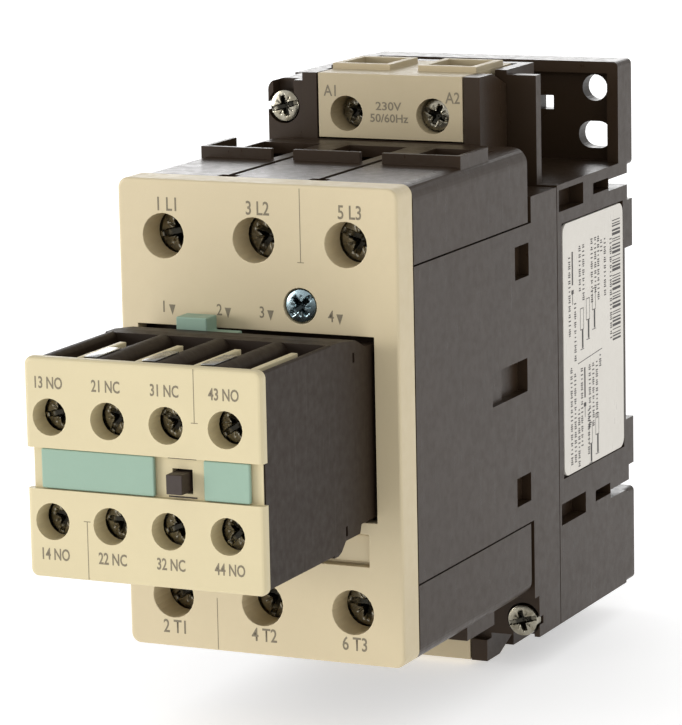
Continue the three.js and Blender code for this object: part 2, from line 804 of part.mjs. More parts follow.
// A pan head screw with a cross and slot recess, its head towards the front.
function panScrew({ x, z, headDepth, headRadius, headThickness, shankRadius, length, turn = 0 }) {
  const edge = headThickness * 0.25;
  const body = turned(x, z, [
    [0, headDepth],
    [headRadius - edge, headDepth],
    [headRadius, headDepth - edge],
    [headRadius, headDepth - headThickness],
    [shankRadius, headDepth - headThickness],
    [shankRadius, headDepth - length + shankRadius * 0.4],
    [shankRadius * 0.6, headDepth - length],
    [0, headDepth - length],
  ], screwSides);
  const recessDepth = headThickness * 0.55;
  const long = headRadius * 0.62;
  const narrow = headRadius * 0.13;
  const arms = [];
  for (let quarter = 0; quarter < 2; quarter += 1) {
    const arm = slab([-long, long], headDepth - recessDepth, headDepth + past, [-narrow, narrow]);
    arms.push(arm.rotate([0, turn + quarter * 90, 0]).translate([x, 0, z]));
  }
  return cutFrom(body, arms);
}

const screwTipDepth = barFrontDepth + 13.8;

function mainScrew(x, z, turn) {
  return panScrew({
    x,
    z,
    turn,
    headDepth: mainHeadDepth,
    headRadius: screwHeadRadius,
    headThickness: screwHeadThickness,
    shankRadius: screwShankRadius,
    length: mainHeadDepth - screwTipDepth,
  });
}

// ---------------------------------------------------------------- clamps and contacts

function terminalClamp(x) {
  const z = bodyMid + terminalScrewHeight;
  const zs = [z - clampHeight / 2, z + clampHeight / 2];
  const ring = slab([x - clampHalfWidth, x + clampHalfWidth], clampRearDepth, clampFrontDepth, zs);
  const opening = slab(
    [x - clampHalfWidth + clampSideWall, x + clampHalfWidth - clampSideWall],
    clampRearDepth + clampRearWall,
    clampFrontDepth - clampFrontWall,
    [zs[0] - past, zs[1] + past],
  );
  const thread = rod(
    x,
    z,
    screwShankRadius + gap,
    clampFrontDepth - clampFrontWall - past,
    clampFrontDepth + past,
    20,
  );
  return cutFrom(ring, [opening, thread]);
}

// A flat bar from the terminal down into the arc space, with a silver tip on its front face.
function fixedContact(x) {
  const tip = bodyMid + tipOffset;
  const bar = slab(
    [x - barHalfWidth, x + barHalfWidth],
    barRearDepth,
    barFrontDepth,
    [tip - tipHeight / 2 - 1, bodyMid + terminalScrewHeight + clampHeight / 2],
  );
  const pad = slab(
    [x - barHalfWidth + 0.8, x + barHalfWidth - 0.8],
    barFrontDepth - 0.1,
    tipFaceDepth,
    [tip - tipHeight / 2, tip + tipHeight / 2],
  );
  return bar.add(pad);
}

function movingBridge(x) {
  const bar = slab(
    [x - bridgeHalfWidth, x + bridgeHalfWidth],
    bridgeRearDepth,
    bridgeRearDepth + bridgeThickness,
    [bodyMid - tipOffset - tipHeight / 2, bodyMid + tipOffset + tipHeight / 2],
  );
  const pads = [-1, 1].map((side) => slab(
    [x - bridgeHalfWidth + 0.5, x + bridgeHalfWidth - 0.5],
    bridgeTipDepth,
    bridgeRearDepth + 0.1,
    [bodyMid + side * tipOffset - tipHeight / 2, bodyMid + side * tipOffset + tipHeight / 2],
  ));
  return joined([bar, ...pads]);
}

// ---------------------------------------------------------------- magnet

const coreHalfThickness = 8;
const coreHalfHeight = magnetHalfHeight - 2;
const coreYoke = 6.5;
const outerLeg = 8.5;
const innerLegHalf = 8;
const coreRearDepth = magnetRearDepth + gap;
const poleFaceDepth = coreRearDepth + 23.2;
const armaturePoleDepth = poleFaceDepth + contactStroke + 0.1;
const armatureFrontDepth = armaturePoleDepth + 16.5;

// An E of laminated steel, lying between two depths, its legs towards the other E.
function coreE(yokeDepth, legDepth) {
  const rear = Math.min(yokeDepth, legDepth);
  const front = Math.max(yokeDepth, legDepth);
  const xs = [-coreHalfThickness, coreHalfThickness];
  const whole = slab(xs, rear, front, [bodyMid - coreHalfHeight, bodyMid + coreHalfHeight]);
  const towards = Math.sign(legDepth - yokeDepth);
  const floorDepth = yokeDepth + towards * coreYoke;
  const cutDepths = [floorDepth, legDepth + towards * past].sort((a, b) => a - b);
  const slot = slab(
    [xs[0] - past, xs[1] + past],
    cutDepths[0],
    cutDepths[1],
    [bodyMid + innerLegHalf, bodyMid + coreHalfHeight - outerLeg],
  );
  return cutFrom(whole, [slot, flipped(slot)]);
}

const coilWall = 1.2;
const bobbinRearDepth = coreRearDepth + coreYoke + gap;
const bobbinFrontDepth = poleFaceDepth - 0.5;
const bobbinHalfX = magnetHalfWidth - 4;
const bobbinHalfZ = coreHalfHeight - outerLeg - gap;

// A block centred on the magnet's middle leg.
function aroundLeg(halfX, halfZ, rearDepth, frontDepth) {
  return slab([-halfX, halfX], rearDepth, frontDepth, [bodyMid - halfZ, bodyMid + halfZ]);
}

// A square tube over the middle leg with a flange at each end.
function coilBobbin() {
  const innerX = coreHalfThickness + gap;
  const innerZ = innerLegHalf + gap;
  return joined([
    aroundLeg(innerX + coilWall, innerZ + coilWall, bobbinRearDepth, bobbinFrontDepth),
    aroundLeg(bobbinHalfX, bobbinHalfZ, bobbinRearDepth, bobbinRearDepth + coilWall),
    aroundLeg(bobbinHalfX, bobbinHalfZ, bobbinFrontDepth - coilWall, bobbinFrontDepth),
  ]).subtract(aroundLeg(innerX, innerZ, bobbinRearDepth - past, bobbinFrontDepth + past));
}

function coilWinding() {
  const innerX = coreHalfThickness + gap + coilWall + gap;
  const innerZ = innerLegHalf + gap + coilWall + gap;
  const rear = bobbinRearDepth + coilWall + gap;
  const front = bobbinFrontDepth - coilWall - gap;
  const shape = roundedRectangle(
    [-bobbinHalfX + 1, bobbinHalfX - 1],
    [bodyMid - bobbinHalfZ + 0.6, bodyMid + bobbinHalfZ - 0.6],
    5,
  );
  return frontPrism(shape, rear, front).subtract(aroundLeg(innerX, innerZ, rear - past, front + past));
}

// A return spring of a few open turns between the bobbin and the armature.
const returnSpringX = coreHalfThickness + 7;
const springWire = 0.7;
const springRadius = 3;
const springTurns = 4;

function returnSpring(x) {
  const rear = bobbinFrontDepth + gap + springWire / 2;
  const front = carrierRearDepth - gap - springWire / 2;
  const turns = new THREE.Curve();
  turns.getPoint = (t) => new THREE.Vector3(
    x + springRadius * Math.cos(t * springTurns * 2 * Math.PI),
    -(rear + t * (front - rear)),
    bodyMid + springRadius * Math.sin(t * springTurns * 2 * Math.PI),
  );
  const section = new THREE.Shape();
  section.absarc(0, 0, springWire / 2, 0, 2 * Math.PI);
  const geometry = new THREE.ExtrudeGeometry(section, {
    steps: springTurns * 9,
    curveSegments: 3,
    extrudePath: turns,
    bevelEnabled: false,
  });
  return solidOf(geometry);
}

// ---------------------------------------------------------------- contact carrier

const carrierPostHalfWidth = 5.6;
const carrierPostHalfHeight = 6;
const carrierPlate = 4;
const carrierRearDepth = armatureFrontDepth + gap;
const carrierPostFront = chamberFrontDepth - 10.2;
const linkX = poleXs[1];
const linkHalfWidth = 3;
const linkHalfHeight = 3.5;
const linkFrontDepth = coverRearDepth + 1.7;
const carrierHalfHeight = 10;
const carrierXs = [poleXs[0] - carrierPostHalfWidth, poleXs[poleCount - 1] + carrierPostHalfWidth];

function contactCarrier() {
  const plate = slab(
    carrierXs,
    carrierRearDepth,
    carrierRearDepth + carrierPlate,
    [bodyMid - carrierHalfHeight, bodyMid + carrierHalfHeight],
  );
  const postZ = [bodyMid - carrierPostHalfHeight, bodyMid + carrierPostHalfHeight];
  const posts = poleXs.map((x) => slab(
    [x - carrierPostHalfWidth, x + carrierPostHalfWidth],
    carrierRearDepth + carrierPlate - 0.5,
    carrierPostFront,
    postZ,
  ));
  const windows = poleXs.map((x) => slab(
    [x - bridgeHalfWidth - gap, x + bridgeHalfWidth + gap],
    bridgeRearDepth - gap,
    carrierPostFront - 3,
    [postZ[0] - past, postZ[1] + past],
  ));
  const link = slab(
    [linkX - linkHalfWidth, linkX + linkHalfWidth],
    carrierPostFront - 1,
    linkFrontDepth,
    [bodyMid - linkHalfHeight, bodyMid + linkHalfHeight],
  );
  return cutFrom(joined([plate, ...posts, link]), windows);
}

// ---------------------------------------------------------------- coil terminals

const coilLeft = towerLeft + 3.3;
const coilRight = towerRight - 3.6;
const coilBlockInner = towerTop - 12.7;
const coilFaceDepth = panelFrontDepth - 0.1;
const coilScrewXs = [coilLeft + 5.9, coilRight - 6.2];
const coilScrewZ = towerTop - 7.7;
const coilHoleRadius = 3.4;
const coilHeadRadius = 3;
const coilHeadSunk = [5.1, 2]; // how far each screw's head lies behind the block's face
const coilEntry = { halfWidth: 4.6, rear: coilFaceDepth - 18.9, front: coilFaceDepth - 8.7 };
const funnelRim = 1.5; // wall of the raised funnel round a wire entry
const funnelRise = 1.1;
const coilBlockMid = (towerTop + towerBottom) / 2;

// The cream block with two screw holes in front and two raised wire funnels on its outer end.
function coilTerminalBlock() {
  const { halfWidth: half, rear, front } = coilEntry;
  const outer = towerTop + funnelRise;
  const body = slab(
    [coilLeft, coilRight],
    towerRearDepth + bodyWall + gap,
    coilFaceDepth,
    [coilBlockInner + gap, towerTop],
  );
  const cutters = [];
  const funnels = [];
  for (const x of coilScrewXs) {
    const rimXs = [x - half - funnelRim, x + half + funnelRim];
    funnels.push(slab(rimXs, rear - funnelRim, front + funnelRim, [towerTop - past, outer]));
    cutters.push(slab([x - half, x + half], rear, front, [coilScrewZ - 3.2, outer + past]));
    cutters.push(rod(x, coilScrewZ, coilHoleRadius, front + 0.4, coilFaceDepth + past));
    cutters.push(rod(x, coilScrewZ, longScrewHoleRadius, rear + 1.6, front + past, 12));
  }
  return cutFrom(joined([body, ...funnels]), cutters);
}

function coilScrew(x, sunk, turn) {
  return panScrew({
    x,
    z: coilScrewZ,
    turn,
    headDepth: coilFaceDepth - sunk,
    headRadius: coilHeadRadius,
    headThickness: 2.2,
    shankRadius: 1.5,
    length: 9,
  });
}

// ---------------------------------------------------------------- auxiliary block

const auxFaceThickness = 1.7;
const auxFaceRear = auxFrontDepth - auxFaceThickness;
const auxHousingFront = auxFaceRear - gap;
const auxRearDepth = coverPlateRear + 0.7;
const grooveLow = -3;
const grooveHigh = 4.2;
const grooveDepth = 1.4;
const grooveEnd = 0.75; // the groove's floor stops this far inside the face's sides
const auxHeadSunk = 4.6;
const auxHeadThickness = 2.2;
const auxWellHalfWidth = 3.3;
const auxWellFrontDepth = auxHousingFront - 3.5;
const auxWellRearDepth = coverFrontDepth + 16.4;
const auxWellFloor = 5.4;
const auxHeadDepth = auxFrontDepth - auxHeadSunk;
const sleeveWall = 0.35;
const sleeveRear = auxHeadDepth + gap; // the screw holes' sleeves reach back to here
const auxMid = (auxFaceTop + auxFaceBottom) / 2;
const ridgeFrom = 5.8; // a ridge stands between these distances left of each screw's axis
const ridgeTo = 1.9;
const ridgeFoot = auxScrewHigh + 3;
const ridgeTop = auxFaceTop - 0.5;
const ridgeRound = 1.8;
const auxSideWall = 1;

// The side view: a deep body, stepped in behind so that its rear end enters the cover's window.
function auxHousingBody() {
  const rearLow = windowBottom + 1;
  const rearHigh = windowTop - 1.3;
  const stepLow = windowBottom - 0.6;
  return sidePrism([
    [-auxHousingFront, auxFaceBottom + gap],
    [-coverFrontDepth - 14.8, auxFaceBottom + gap],
    [-coverFrontDepth - 13.4, auxFaceBottom + 0.8],
    [-coverFrontDepth - 11.6, stepLow],
    [-coverFrontDepth - 5.7, stepLow],
    [-coverFrontDepth - 5, rearLow],
    [-auxRearDepth, rearLow],
    [-auxRearDepth, rearHigh],
    [-coverFrontDepth - 2.2, rearHigh],
    [-coverFrontDepth - 6.1, auxFaceTop - 1.4],
    [-coverFrontDepth - 12.9, auxFaceTop - 0.6],
    [-auxHousingFront, auxFaceTop - 0.4],
  ], [-auxHousingHalfWidth, auxHousingHalfWidth]);
}

// Small slots in both sides that the catches of the housing's rear half show through.
function auxSideSlots() {
  const places = [
    { depth: coverFrontDepth + 7.1, z: windowTop - 2.4 },
    { depth: coverFrontDepth + 11.2, z: windowBottom + 1 },
  ];
  return places.flatMap(({ depth, z }) => (
    sideCuts(0.8, depth - 0.4, depth + 0.4, [z - 0.9, z + 0.9], auxHousingHalfWidth)
  ));
}

// The room round one terminal screw, open towards the trough above or below it.
function auxWell(x, side) {
  const zs = side > 0 ? [auxWellFloor, ridgeFoot + past] : [auxFaceBottom - past, -auxWellFloor + 1];
  return slab([x - auxWellHalfWidth, x + auxWellHalfWidth], auxWellRearDepth, auxWellFrontDepth, zs);
}

// The room for one screw's head and for the sleeve of the face in front of it.
function auxScrewHole(x, z) {
  const radius = auxHoleRadius + sleeveWall + gap;
  return rod(x, z, radius, auxHeadDepth - auxHeadThickness - gap, auxHousingFront + past, 16);
}

// The wide trough across the top of the block that the wires lie in.
function auxTrough() {
  const xs = [-auxHousingHalfWidth - past, auxHousingHalfWidth + past];
  return slab(xs, auxWellRearDepth, auxHousingFront + past, [ridgeFoot, auxFaceTop + past]);
}

// A ridge that parts two wires: flat sided, with a round top.
function auxRidge([x0, x1]) {
  const radius = Math.min(ridgeRound, (x1 - x0) / 2 - 0.05);
  const shape = new THREE.Shape();
  shape.moveTo(x0, ridgeFoot - 0.4);
  shape.lineTo(x1, ridgeFoot - 0.4);
  shape.absarc(x1 - radius, ridgeTop - radius, radius, 0, Math.PI / 2);
  shape.absarc(x0 + radius, ridgeTop - radius, radius, Math.PI / 2, Math.PI);
  return frontPrism(shape, auxWellRearDepth - 0.5, auxHousingFront, 4);
}

function auxRidges() {
  const left = -auxHousingHalfWidth;
  const right = auxHousingHalfWidth;
  const ridges = auxXs.map((x) => auxRidge([Math.max(x - ridgeFrom, left), x - ridgeTo]));
  return joined([...ridges, auxRidge([right - auxSideWall, right])]);
}

const auxCarrierHalfWidth = 12;
const auxCarrierHalfHeight = 2.4;
const auxCarrierRear = coverFrontDepth + 4.4;
const auxCarrierFront = auxCarrierRear + 21;

function auxHousing() {
  const plungerWay = slab(
    [plungerX - plungerHalfWidth - gap, plungerX + plungerHalfWidth + gap],
    auxCarrierRear,
    auxHousingFront + past,
    [-plungerHalfHeight - gap, plungerHalfHeight + gap],
  );
  const carrierRoom = slab(
    [-auxCarrierHalfWidth - gap, auxCarrierHalfWidth + gap],
    auxRearDepth - past,
    auxCarrierFront + gap,
    [-auxCarrierHalfHeight - gap, auxCarrierHalfHeight + gap],
  );
  const groovePocket = slab(
    [-auxHousingHalfWidth + 0.6, auxHousingHalfWidth - 0.6],
    auxFrontDepth - grooveDepth - 2 - gap,
    auxHousingFront + past,
    [grooveLow - 0.8, grooveHigh + 0.8],
  );
  const leverPocket = slab(
    [leverLeft - gap, leverRight + leverArm + gap],
    leverRearDepth - gap,
    leverFrontDepth + gap,
    [leverLow - gap, auxFaceTop + past],
  );
  const opened = cutFrom(auxHousingBody(), [
    auxTrough(),
    flipped(auxTrough(), auxMid),
    ...auxXs.flatMap((x) => [auxWell(x, 1), auxWell(x, -1)]),
  ]);
  return cutFrom(joined([opened, auxRidges(), flipped(auxRidges(), auxMid)]), [
    plungerWay,
    carrierRoom,
    groovePocket,
    leverPocket,
    ...auxSideSlots(),
    ...auxXs.flatMap((x) => [auxScrewHole(x, auxScrewHigh), auxScrewHole(x, auxScrewLow)]),
  ]);
}

function auxFace() {
  const xs = [-auxHalfWidth, auxHalfWidth];
  const shape = roundedRectangle(xs, [auxFaceBottom, auxFaceTop], 1.4);
  const face = softPrism(shape, auxFaceRear, auxFrontDepth, 0.7);
  const backing = slab(
    [-auxHousingHalfWidth + 0.6 + gap, auxHousingHalfWidth - 0.6 - gap],
    auxFrontDepth - grooveDepth - 2,
    auxFaceRear + 0.5,
    [grooveLow - 0.5, grooveHigh + 0.5],
  );
  const groove = slab(
    [xs[0] - past, xs[1] + past],
    auxFrontDepth - grooveDepth,
    auxFrontDepth + past,
    [grooveLow, grooveHigh],
  );
  const grooveEnds = [-1, 1].map((side) => slab(
    [side * (auxHalfWidth - grooveEnd), side * (auxHalfWidth + past)].sort((a, b) => a - b),
    auxFaceRear - past,
    auxFrontDepth + past,
    [grooveLow, grooveHigh],
  ));
  const plungerHole = slab(
    [plungerX - plungerHalfWidth - 0.4, plungerX + plungerHalfWidth + 0.4],
    auxFrontDepth - grooveDepth - 3,
    auxFrontDepth,
    [-plungerHalfHeight - 0.4, plungerHalfHeight + 0.4],
  );
  const screwPlaces = auxXs.flatMap((x) => [[x, auxScrewHigh], [x, auxScrewLow]]);
  const sleeves = screwPlaces.map(([x, z]) => (
    rod(x, z, auxHoleRadius + sleeveWall, sleeveRear, auxFaceRear + 0.5)
  ));
  const holes = screwPlaces.map(([x, z]) => (
    rod(x, z, auxHoleRadius, sleeveRear - past, auxFrontDepth + past)
  ));
  return cutFrom(joined([face, backing, ...sleeves]), [groove, ...grooveEnds, plungerHole, ...holes]);
}

const auxLabelInset = 2.7;

function auxLabel(x0, x1) {
  const plate = roundedRectangle([x0, x1], [grooveLow + gap / 2, grooveHigh - gap / 2], 0.3);
  return softPrism(plate, auxFrontDepth - grooveDepth + gap, auxFrontDepth - 0.3, 0.25, 2);
}

function auxScrew(x, z, turn) {
  return panScrew({
    x,
    z,
    turn,
    headDepth: auxHeadDepth,
    headRadius: auxHeadRadius,
    headThickness: auxHeadThickness,
    shankRadius: 1.75,
    length: 12.2,
  });
}

// The dark plunger that shows the switch position, with the inner slide that it is moulded on.
function auxPlunger() {
  const shaft = slab(
    [plungerX - plungerHalfWidth, plungerX + plungerHalfWidth],
    auxCarrierFront - 1,
    auxFrontDepth + 1.9,
    [-plungerHalfHeight, plungerHalfHeight],
  );
  const slide = slab(
    [-auxCarrierHalfWidth, auxCarrierHalfWidth],
    auxCarrierRear,
    auxCarrierFront,
    [-auxCarrierHalfHeight, auxCarrierHalfHeight],
  );
  const tail = slab([linkX - 2.5, linkX + 2.5], linkFrontDepth + gap, auxCarrierRear + 1, [-2, 2]);
  return joined([shaft, slide, tail]);
}

const leverLeft = -13.4;
const leverRight = -7.3;
const leverArm = 5;
const leverRearDepth = coverFrontDepth + 1.6;
const leverFrontDepth = leverRearDepth + 4.2;
const leverLow = windowTop - 3.8;
const leverTop = windowTop + 2.7;

function releaseLever() {
  const tab = slab([leverLeft, leverRight], leverRearDepth, leverFrontDepth, [leverLow, leverTop]);
  const arm = slab(
    [leverRight - 1, leverRight + leverArm],
    leverRearDepth,
    leverFrontDepth - 0.6,
    [leverLow, leverTop - 2.6],
  );
  return tab.add(arm);
}

// ---------------------------------------------------------------- rail slider and its spring

const sliderLow = railTop - hookOverhang;
const sliderTop = sliderLow + sliderHeight;

function railSlider() {
  const ys = [railThickness + gap, rearPlane - 0.5];
  const body = block([-sliderHalfWidth, sliderHalfWidth], ys, [sliderLow, sliderTop]);
  const tongueSlot = block([-3, 3], [ys[0] - past, ys[1] + past], [sliderTop - 2, sliderTop + past]);
  return body.subtract(tongueSlot);
}

function railSpring() {
  const ys = [railThickness + gap + 0.4, rearPlane - 0.9];
  const zs = [sliderTop - 2 + gap, railTop + hookHeight - sliderEndWall - gap];
  const turns = 5;
  const rise = (zs[1] - zs[0]) / turns;
  const leafs = [];
  for (let turn = 0; turn < turns; turn += 1) {
    const from = zs[0] + turn * rise;
    leafs.push(block([-2.4, 2.4], ys, [from, from + rise * 0.45]));
    const xs = turn % 2 ? [-2.4, -1.6] : [1.6, 2.4];
    leafs.push(block(xs, ys, [from, Math.min(from + rise * 1.2, zs[1])]));
  }
  return joined(leafs);
}

// ---------------------------------------------------------------- assembly

const recessTurns = [12, 58, -24, 35, 70, -8, 22, 49]; // how far each screw happens to be turned

addPiece('rear_base', rearBase(), darkPlastic);
addPiece('front_housing', frontHousing(), darkPlastic);
addPiece('line_terminal_block', terminalBlock(), darkPlastic);
addPiece('load_terminal_block', flipped(terminalBlock()), darkPlastic);
addPiece('front_cover', frontCover(), creamPlastic);
addPiece('cover_insert', coverInsert(), creamPlastic);
addPiece('rating_label', block(
  [halfWidth + 0.1 - labelThickness, halfWidth + 0.1],
  [-labelFront, -labelRear],
  [labelLow, labelHigh],
), labelFilm);
addPiece('rail_slider', railSlider(), innerPlastic);
addPiece('rail_spring', railSpring(), springSteel);

addPiece('fixed_core', coreE(coreRearDepth, poleFaceDepth), coreSteel);
addPiece('coil_bobbin', coilBobbin(), bobbinPlastic);
addPiece('coil_winding', coilWinding(), copperWire);
addPiece('armature_core', coreE(armatureFrontDepth, armaturePoleDepth), coreSteel);
addPiece('contact_carrier', contactCarrier(), innerPlastic);
addPiece('return_spring_left', returnSpring(-returnSpringX), springSteel);
addPiece('return_spring_right', returnSpring(returnSpringX), springSteel);

poleXs.forEach((x, index) => {
  const pole = index + 1;
  const axis = bodyMid + terminalScrewHeight;
  addPiece(`moving_bridge_${pole}`, movingBridge(x), copperAlloy);
  addPiece(`line_contact_${pole}`, fixedContact(x), copperAlloy);
  addPiece(`load_contact_${pole}`, flipped(fixedContact(x)), copperAlloy);
  addPiece(`line_clamp_${pole}`, terminalClamp(x), zincSteel);
  addPiece(`load_clamp_${pole}`, flipped(terminalClamp(x)), zincSteel);
  addPiece(`line_screw_${pole}`, mainScrew(x, axis, recessTurns[index]), zincSteel);
  addPiece(`load_screw_${pole}`, mainScrew(x, 2 * bodyMid - axis, recessTurns[index + 3]), zincSteel);
});

addPiece('coil_terminal_upper', coilTerminalBlock(), coilCream);
addPiece('coil_terminal_lower', flipped(coilTerminalBlock(), coilBlockMid), coilCream);
coilScrewXs.forEach((x, index) => {
  const screw = coilScrew(x, coilHeadSunk[index], recessTurns[index + 1]);
  addPiece(`coil_screw_a${index + 1}`, screw, zincSteel);
});

for (const { name, x, z } of housingScrews) {
  addPiece(name, panScrew({
    x,
    z,
    turn: 15,
    headDepth: earFrontDepth - 0.3,
    headRadius: 3.05,
    headThickness: 2.2,
    shankRadius: 1.6,
    length: 22,
  }), zincSteel);
}
for (const { name, x, z } of coverScrews) {
  addPiece(name, panScrew({
    x,
    z,
    turn: 40,
    headDepth: coverFrontDepth - 0.2,
    headRadius: coverHeadRadius,
    headThickness: 1.5,
    shankRadius: 1.6,
    length: 13,
  }), blueZinc);
}

addPiece('aux_housing', auxHousing(), darkPlastic);
addPiece('aux_face', auxFace(), auxCream);
addPiece('aux_label_left', auxLabel(-auxHalfWidth + auxLabelInset, plungerX - 4.9), tealPlastic);
addPiece('aux_label_right', auxLabel(plungerX + 4.5, auxHalfWidth - auxLabelInset), tealPlastic);
addPiece('aux_plunger', auxPlunger(), innerPlastic);
addPiece('release_lever', releaseLever(), tealPlastic);
auxXs.forEach((x, index) => {
  addPiece(`aux_screw_upper_${index + 1}`, auxScrew(x, auxScrewHigh, recessTurns[index]), zincSteel);
  addPiece(`aux_screw_lower_${index + 1}`, auxScrew(x, auxScrewLow, recessTurns[index + 4]), zincSteel);
});

export default contactor;
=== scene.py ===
# The looks of a three pole DIN rail contactor with a four pole auxiliary block, on its CAD frame.
# Places and sizes are in millimetres in the part's own frame: +X right, -Y towards the viewer,
# +Z up, with the origin at the rail seat. MM turns them into metres.
import math

import bmesh
import bpy
from mathutils import Matrix, Vector


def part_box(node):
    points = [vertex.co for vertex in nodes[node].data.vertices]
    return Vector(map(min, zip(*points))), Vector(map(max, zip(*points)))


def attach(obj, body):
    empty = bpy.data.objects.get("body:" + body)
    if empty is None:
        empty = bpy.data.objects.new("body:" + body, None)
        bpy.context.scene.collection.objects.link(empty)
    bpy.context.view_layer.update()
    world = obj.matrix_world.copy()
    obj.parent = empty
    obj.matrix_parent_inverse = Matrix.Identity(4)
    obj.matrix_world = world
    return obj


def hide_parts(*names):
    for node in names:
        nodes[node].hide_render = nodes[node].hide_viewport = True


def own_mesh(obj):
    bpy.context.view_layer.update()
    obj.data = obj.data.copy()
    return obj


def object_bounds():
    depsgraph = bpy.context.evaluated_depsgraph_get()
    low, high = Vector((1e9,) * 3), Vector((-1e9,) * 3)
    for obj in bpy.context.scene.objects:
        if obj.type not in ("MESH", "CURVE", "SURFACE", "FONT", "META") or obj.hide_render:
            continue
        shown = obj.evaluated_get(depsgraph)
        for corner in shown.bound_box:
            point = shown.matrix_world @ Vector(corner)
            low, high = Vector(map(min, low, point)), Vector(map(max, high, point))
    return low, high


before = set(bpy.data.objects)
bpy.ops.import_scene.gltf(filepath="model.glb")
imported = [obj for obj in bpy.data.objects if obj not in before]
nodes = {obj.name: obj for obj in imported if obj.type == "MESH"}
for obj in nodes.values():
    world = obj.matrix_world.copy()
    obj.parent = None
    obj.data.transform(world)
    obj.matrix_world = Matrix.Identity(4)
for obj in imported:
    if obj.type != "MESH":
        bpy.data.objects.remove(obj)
cad_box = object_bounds()
MM = 0.001


# ---------------------------------------------------------------- camera, stage and light

# All in metres.
CAMERA_PLACE = (0.3013, -0.7173, 0.1383)
CAMERA_RIGHT = Vector((0.90644, 0.42185, -0.02018))
CAMERA_UP = Vector((-0.05946, 0.17478, 0.98281))
CAMERA_BACK = Vector((0.41813, -0.88966, 0.18351))
CAMERA_LENS_MM = 192.07
LIGHT_TARGET = Vector((0, -0.07, 0))
FLOOR_HALF_WIDTH = 6
FLOOR_DROP = 0.0002  # the floor lies this far below the part
FLOOR_GLOW = 0.45


def make_camera():
    data = bpy.data.cameras.new("camera")
    data.sensor_width = 36
    data.lens = CAMERA_LENS_MM
    data.clip_start = 0.05
    data.clip_end = 20
    camera = bpy.data.objects.new("camera", data)
    bpy.context.scene.collection.objects.link(camera)
    turn = Matrix((CAMERA_RIGHT, CAMERA_UP, CAMERA_BACK)).transposed().to_4x4()
    camera.matrix_world = Matrix.Translation(CAMERA_PLACE) @ turn
    bpy.context.scene.camera = camera


def area_light(name, place, size, power, colour=(1, 1, 1)):
    data = bpy.data.lights.new(name, "AREA")
    data.shape = "RECTANGLE"
    data.size, data.size_y = size
    data.energy = power
    data.color = colour
    light = bpy.data.objects.new(name, data)
    light.location = place
    aim = LIGHT_TARGET - Vector(place)
    light.rotation_euler = aim.to_track_quat("-Z", "Y").to_euler()
    bpy.context.scene.collection.objects.link(light)


def make_world(horizon, zenith):
    """A white studio, brightest at eye height and dimmer overhead."""
    world = bpy.data.worlds.new("studio")
    world.use_nodes = True
    tree = world.node_tree
    sky = tree.nodes["Background"]
    sky.inputs["Color"].default_value = (1, 1, 1, 1)
    place = tree.nodes.new("ShaderNodeTexCoord")
    split = tree.nodes.new("ShaderNodeSeparateXYZ")
    height = tree.nodes.new("ShaderNodeMapRange")
    limits = (("From Min", 0.1), ("From Max", 0.9), ("To Min", horizon), ("To Max", zenith))
    for socket, limit in limits:
        height.inputs[socket].default_value = limit
    tree.links.new(place.outputs["Generated"], split.inputs["Vector"])
    tree.links.new(split.outputs["Z"], height.inputs["Value"])
    tree.links.new(height.outputs["Result"], sky.inputs["Strength"])
    bpy.context.scene.world = world


def make_floor(z):
    """A pale sheet that glows a little, so that it stays white around the part."""
    half = FLOOR_HALF_WIDTH
    mesh = bpy.data.meshes.new("floor")
    corners = [(-half, -half, z), (half, -half, z), (half, half, z), (-half, half, z)]
    mesh.from_pydata(corners, [], [(0, 1, 2, 3)])
    floor = bpy.data.objects.new("floor", mesh)
    bpy.context.scene.collection.objects.link(floor)
    pale = Shader("floor_paper")
    pale.set(("Base Color", (0.9, 0.9, 0.9, 1)), ("Roughness", 0.9), ("Specular IOR Level", 0.1))
    pale.set(("Emission Color", (1, 1, 1, 1)), ("Emission Strength", FLOOR_GLOW))
    mesh.materials.append(pale.material)


# ---------------------------------------------------------------- materials

def linear(rgb):
    """An sRGB colour of 0 to 255 as a linear RGBA."""
    parts = [c / 255 for c in rgb]
    return tuple(c / 12.92 if c <= 0.04045 else ((c + 0.055) / 1.055) ** 2.4 for c in parts) + (1,)


def scaled(rgba, factor):
    return tuple(min(1, c * factor) for c in rgba[:3]) + (1,)


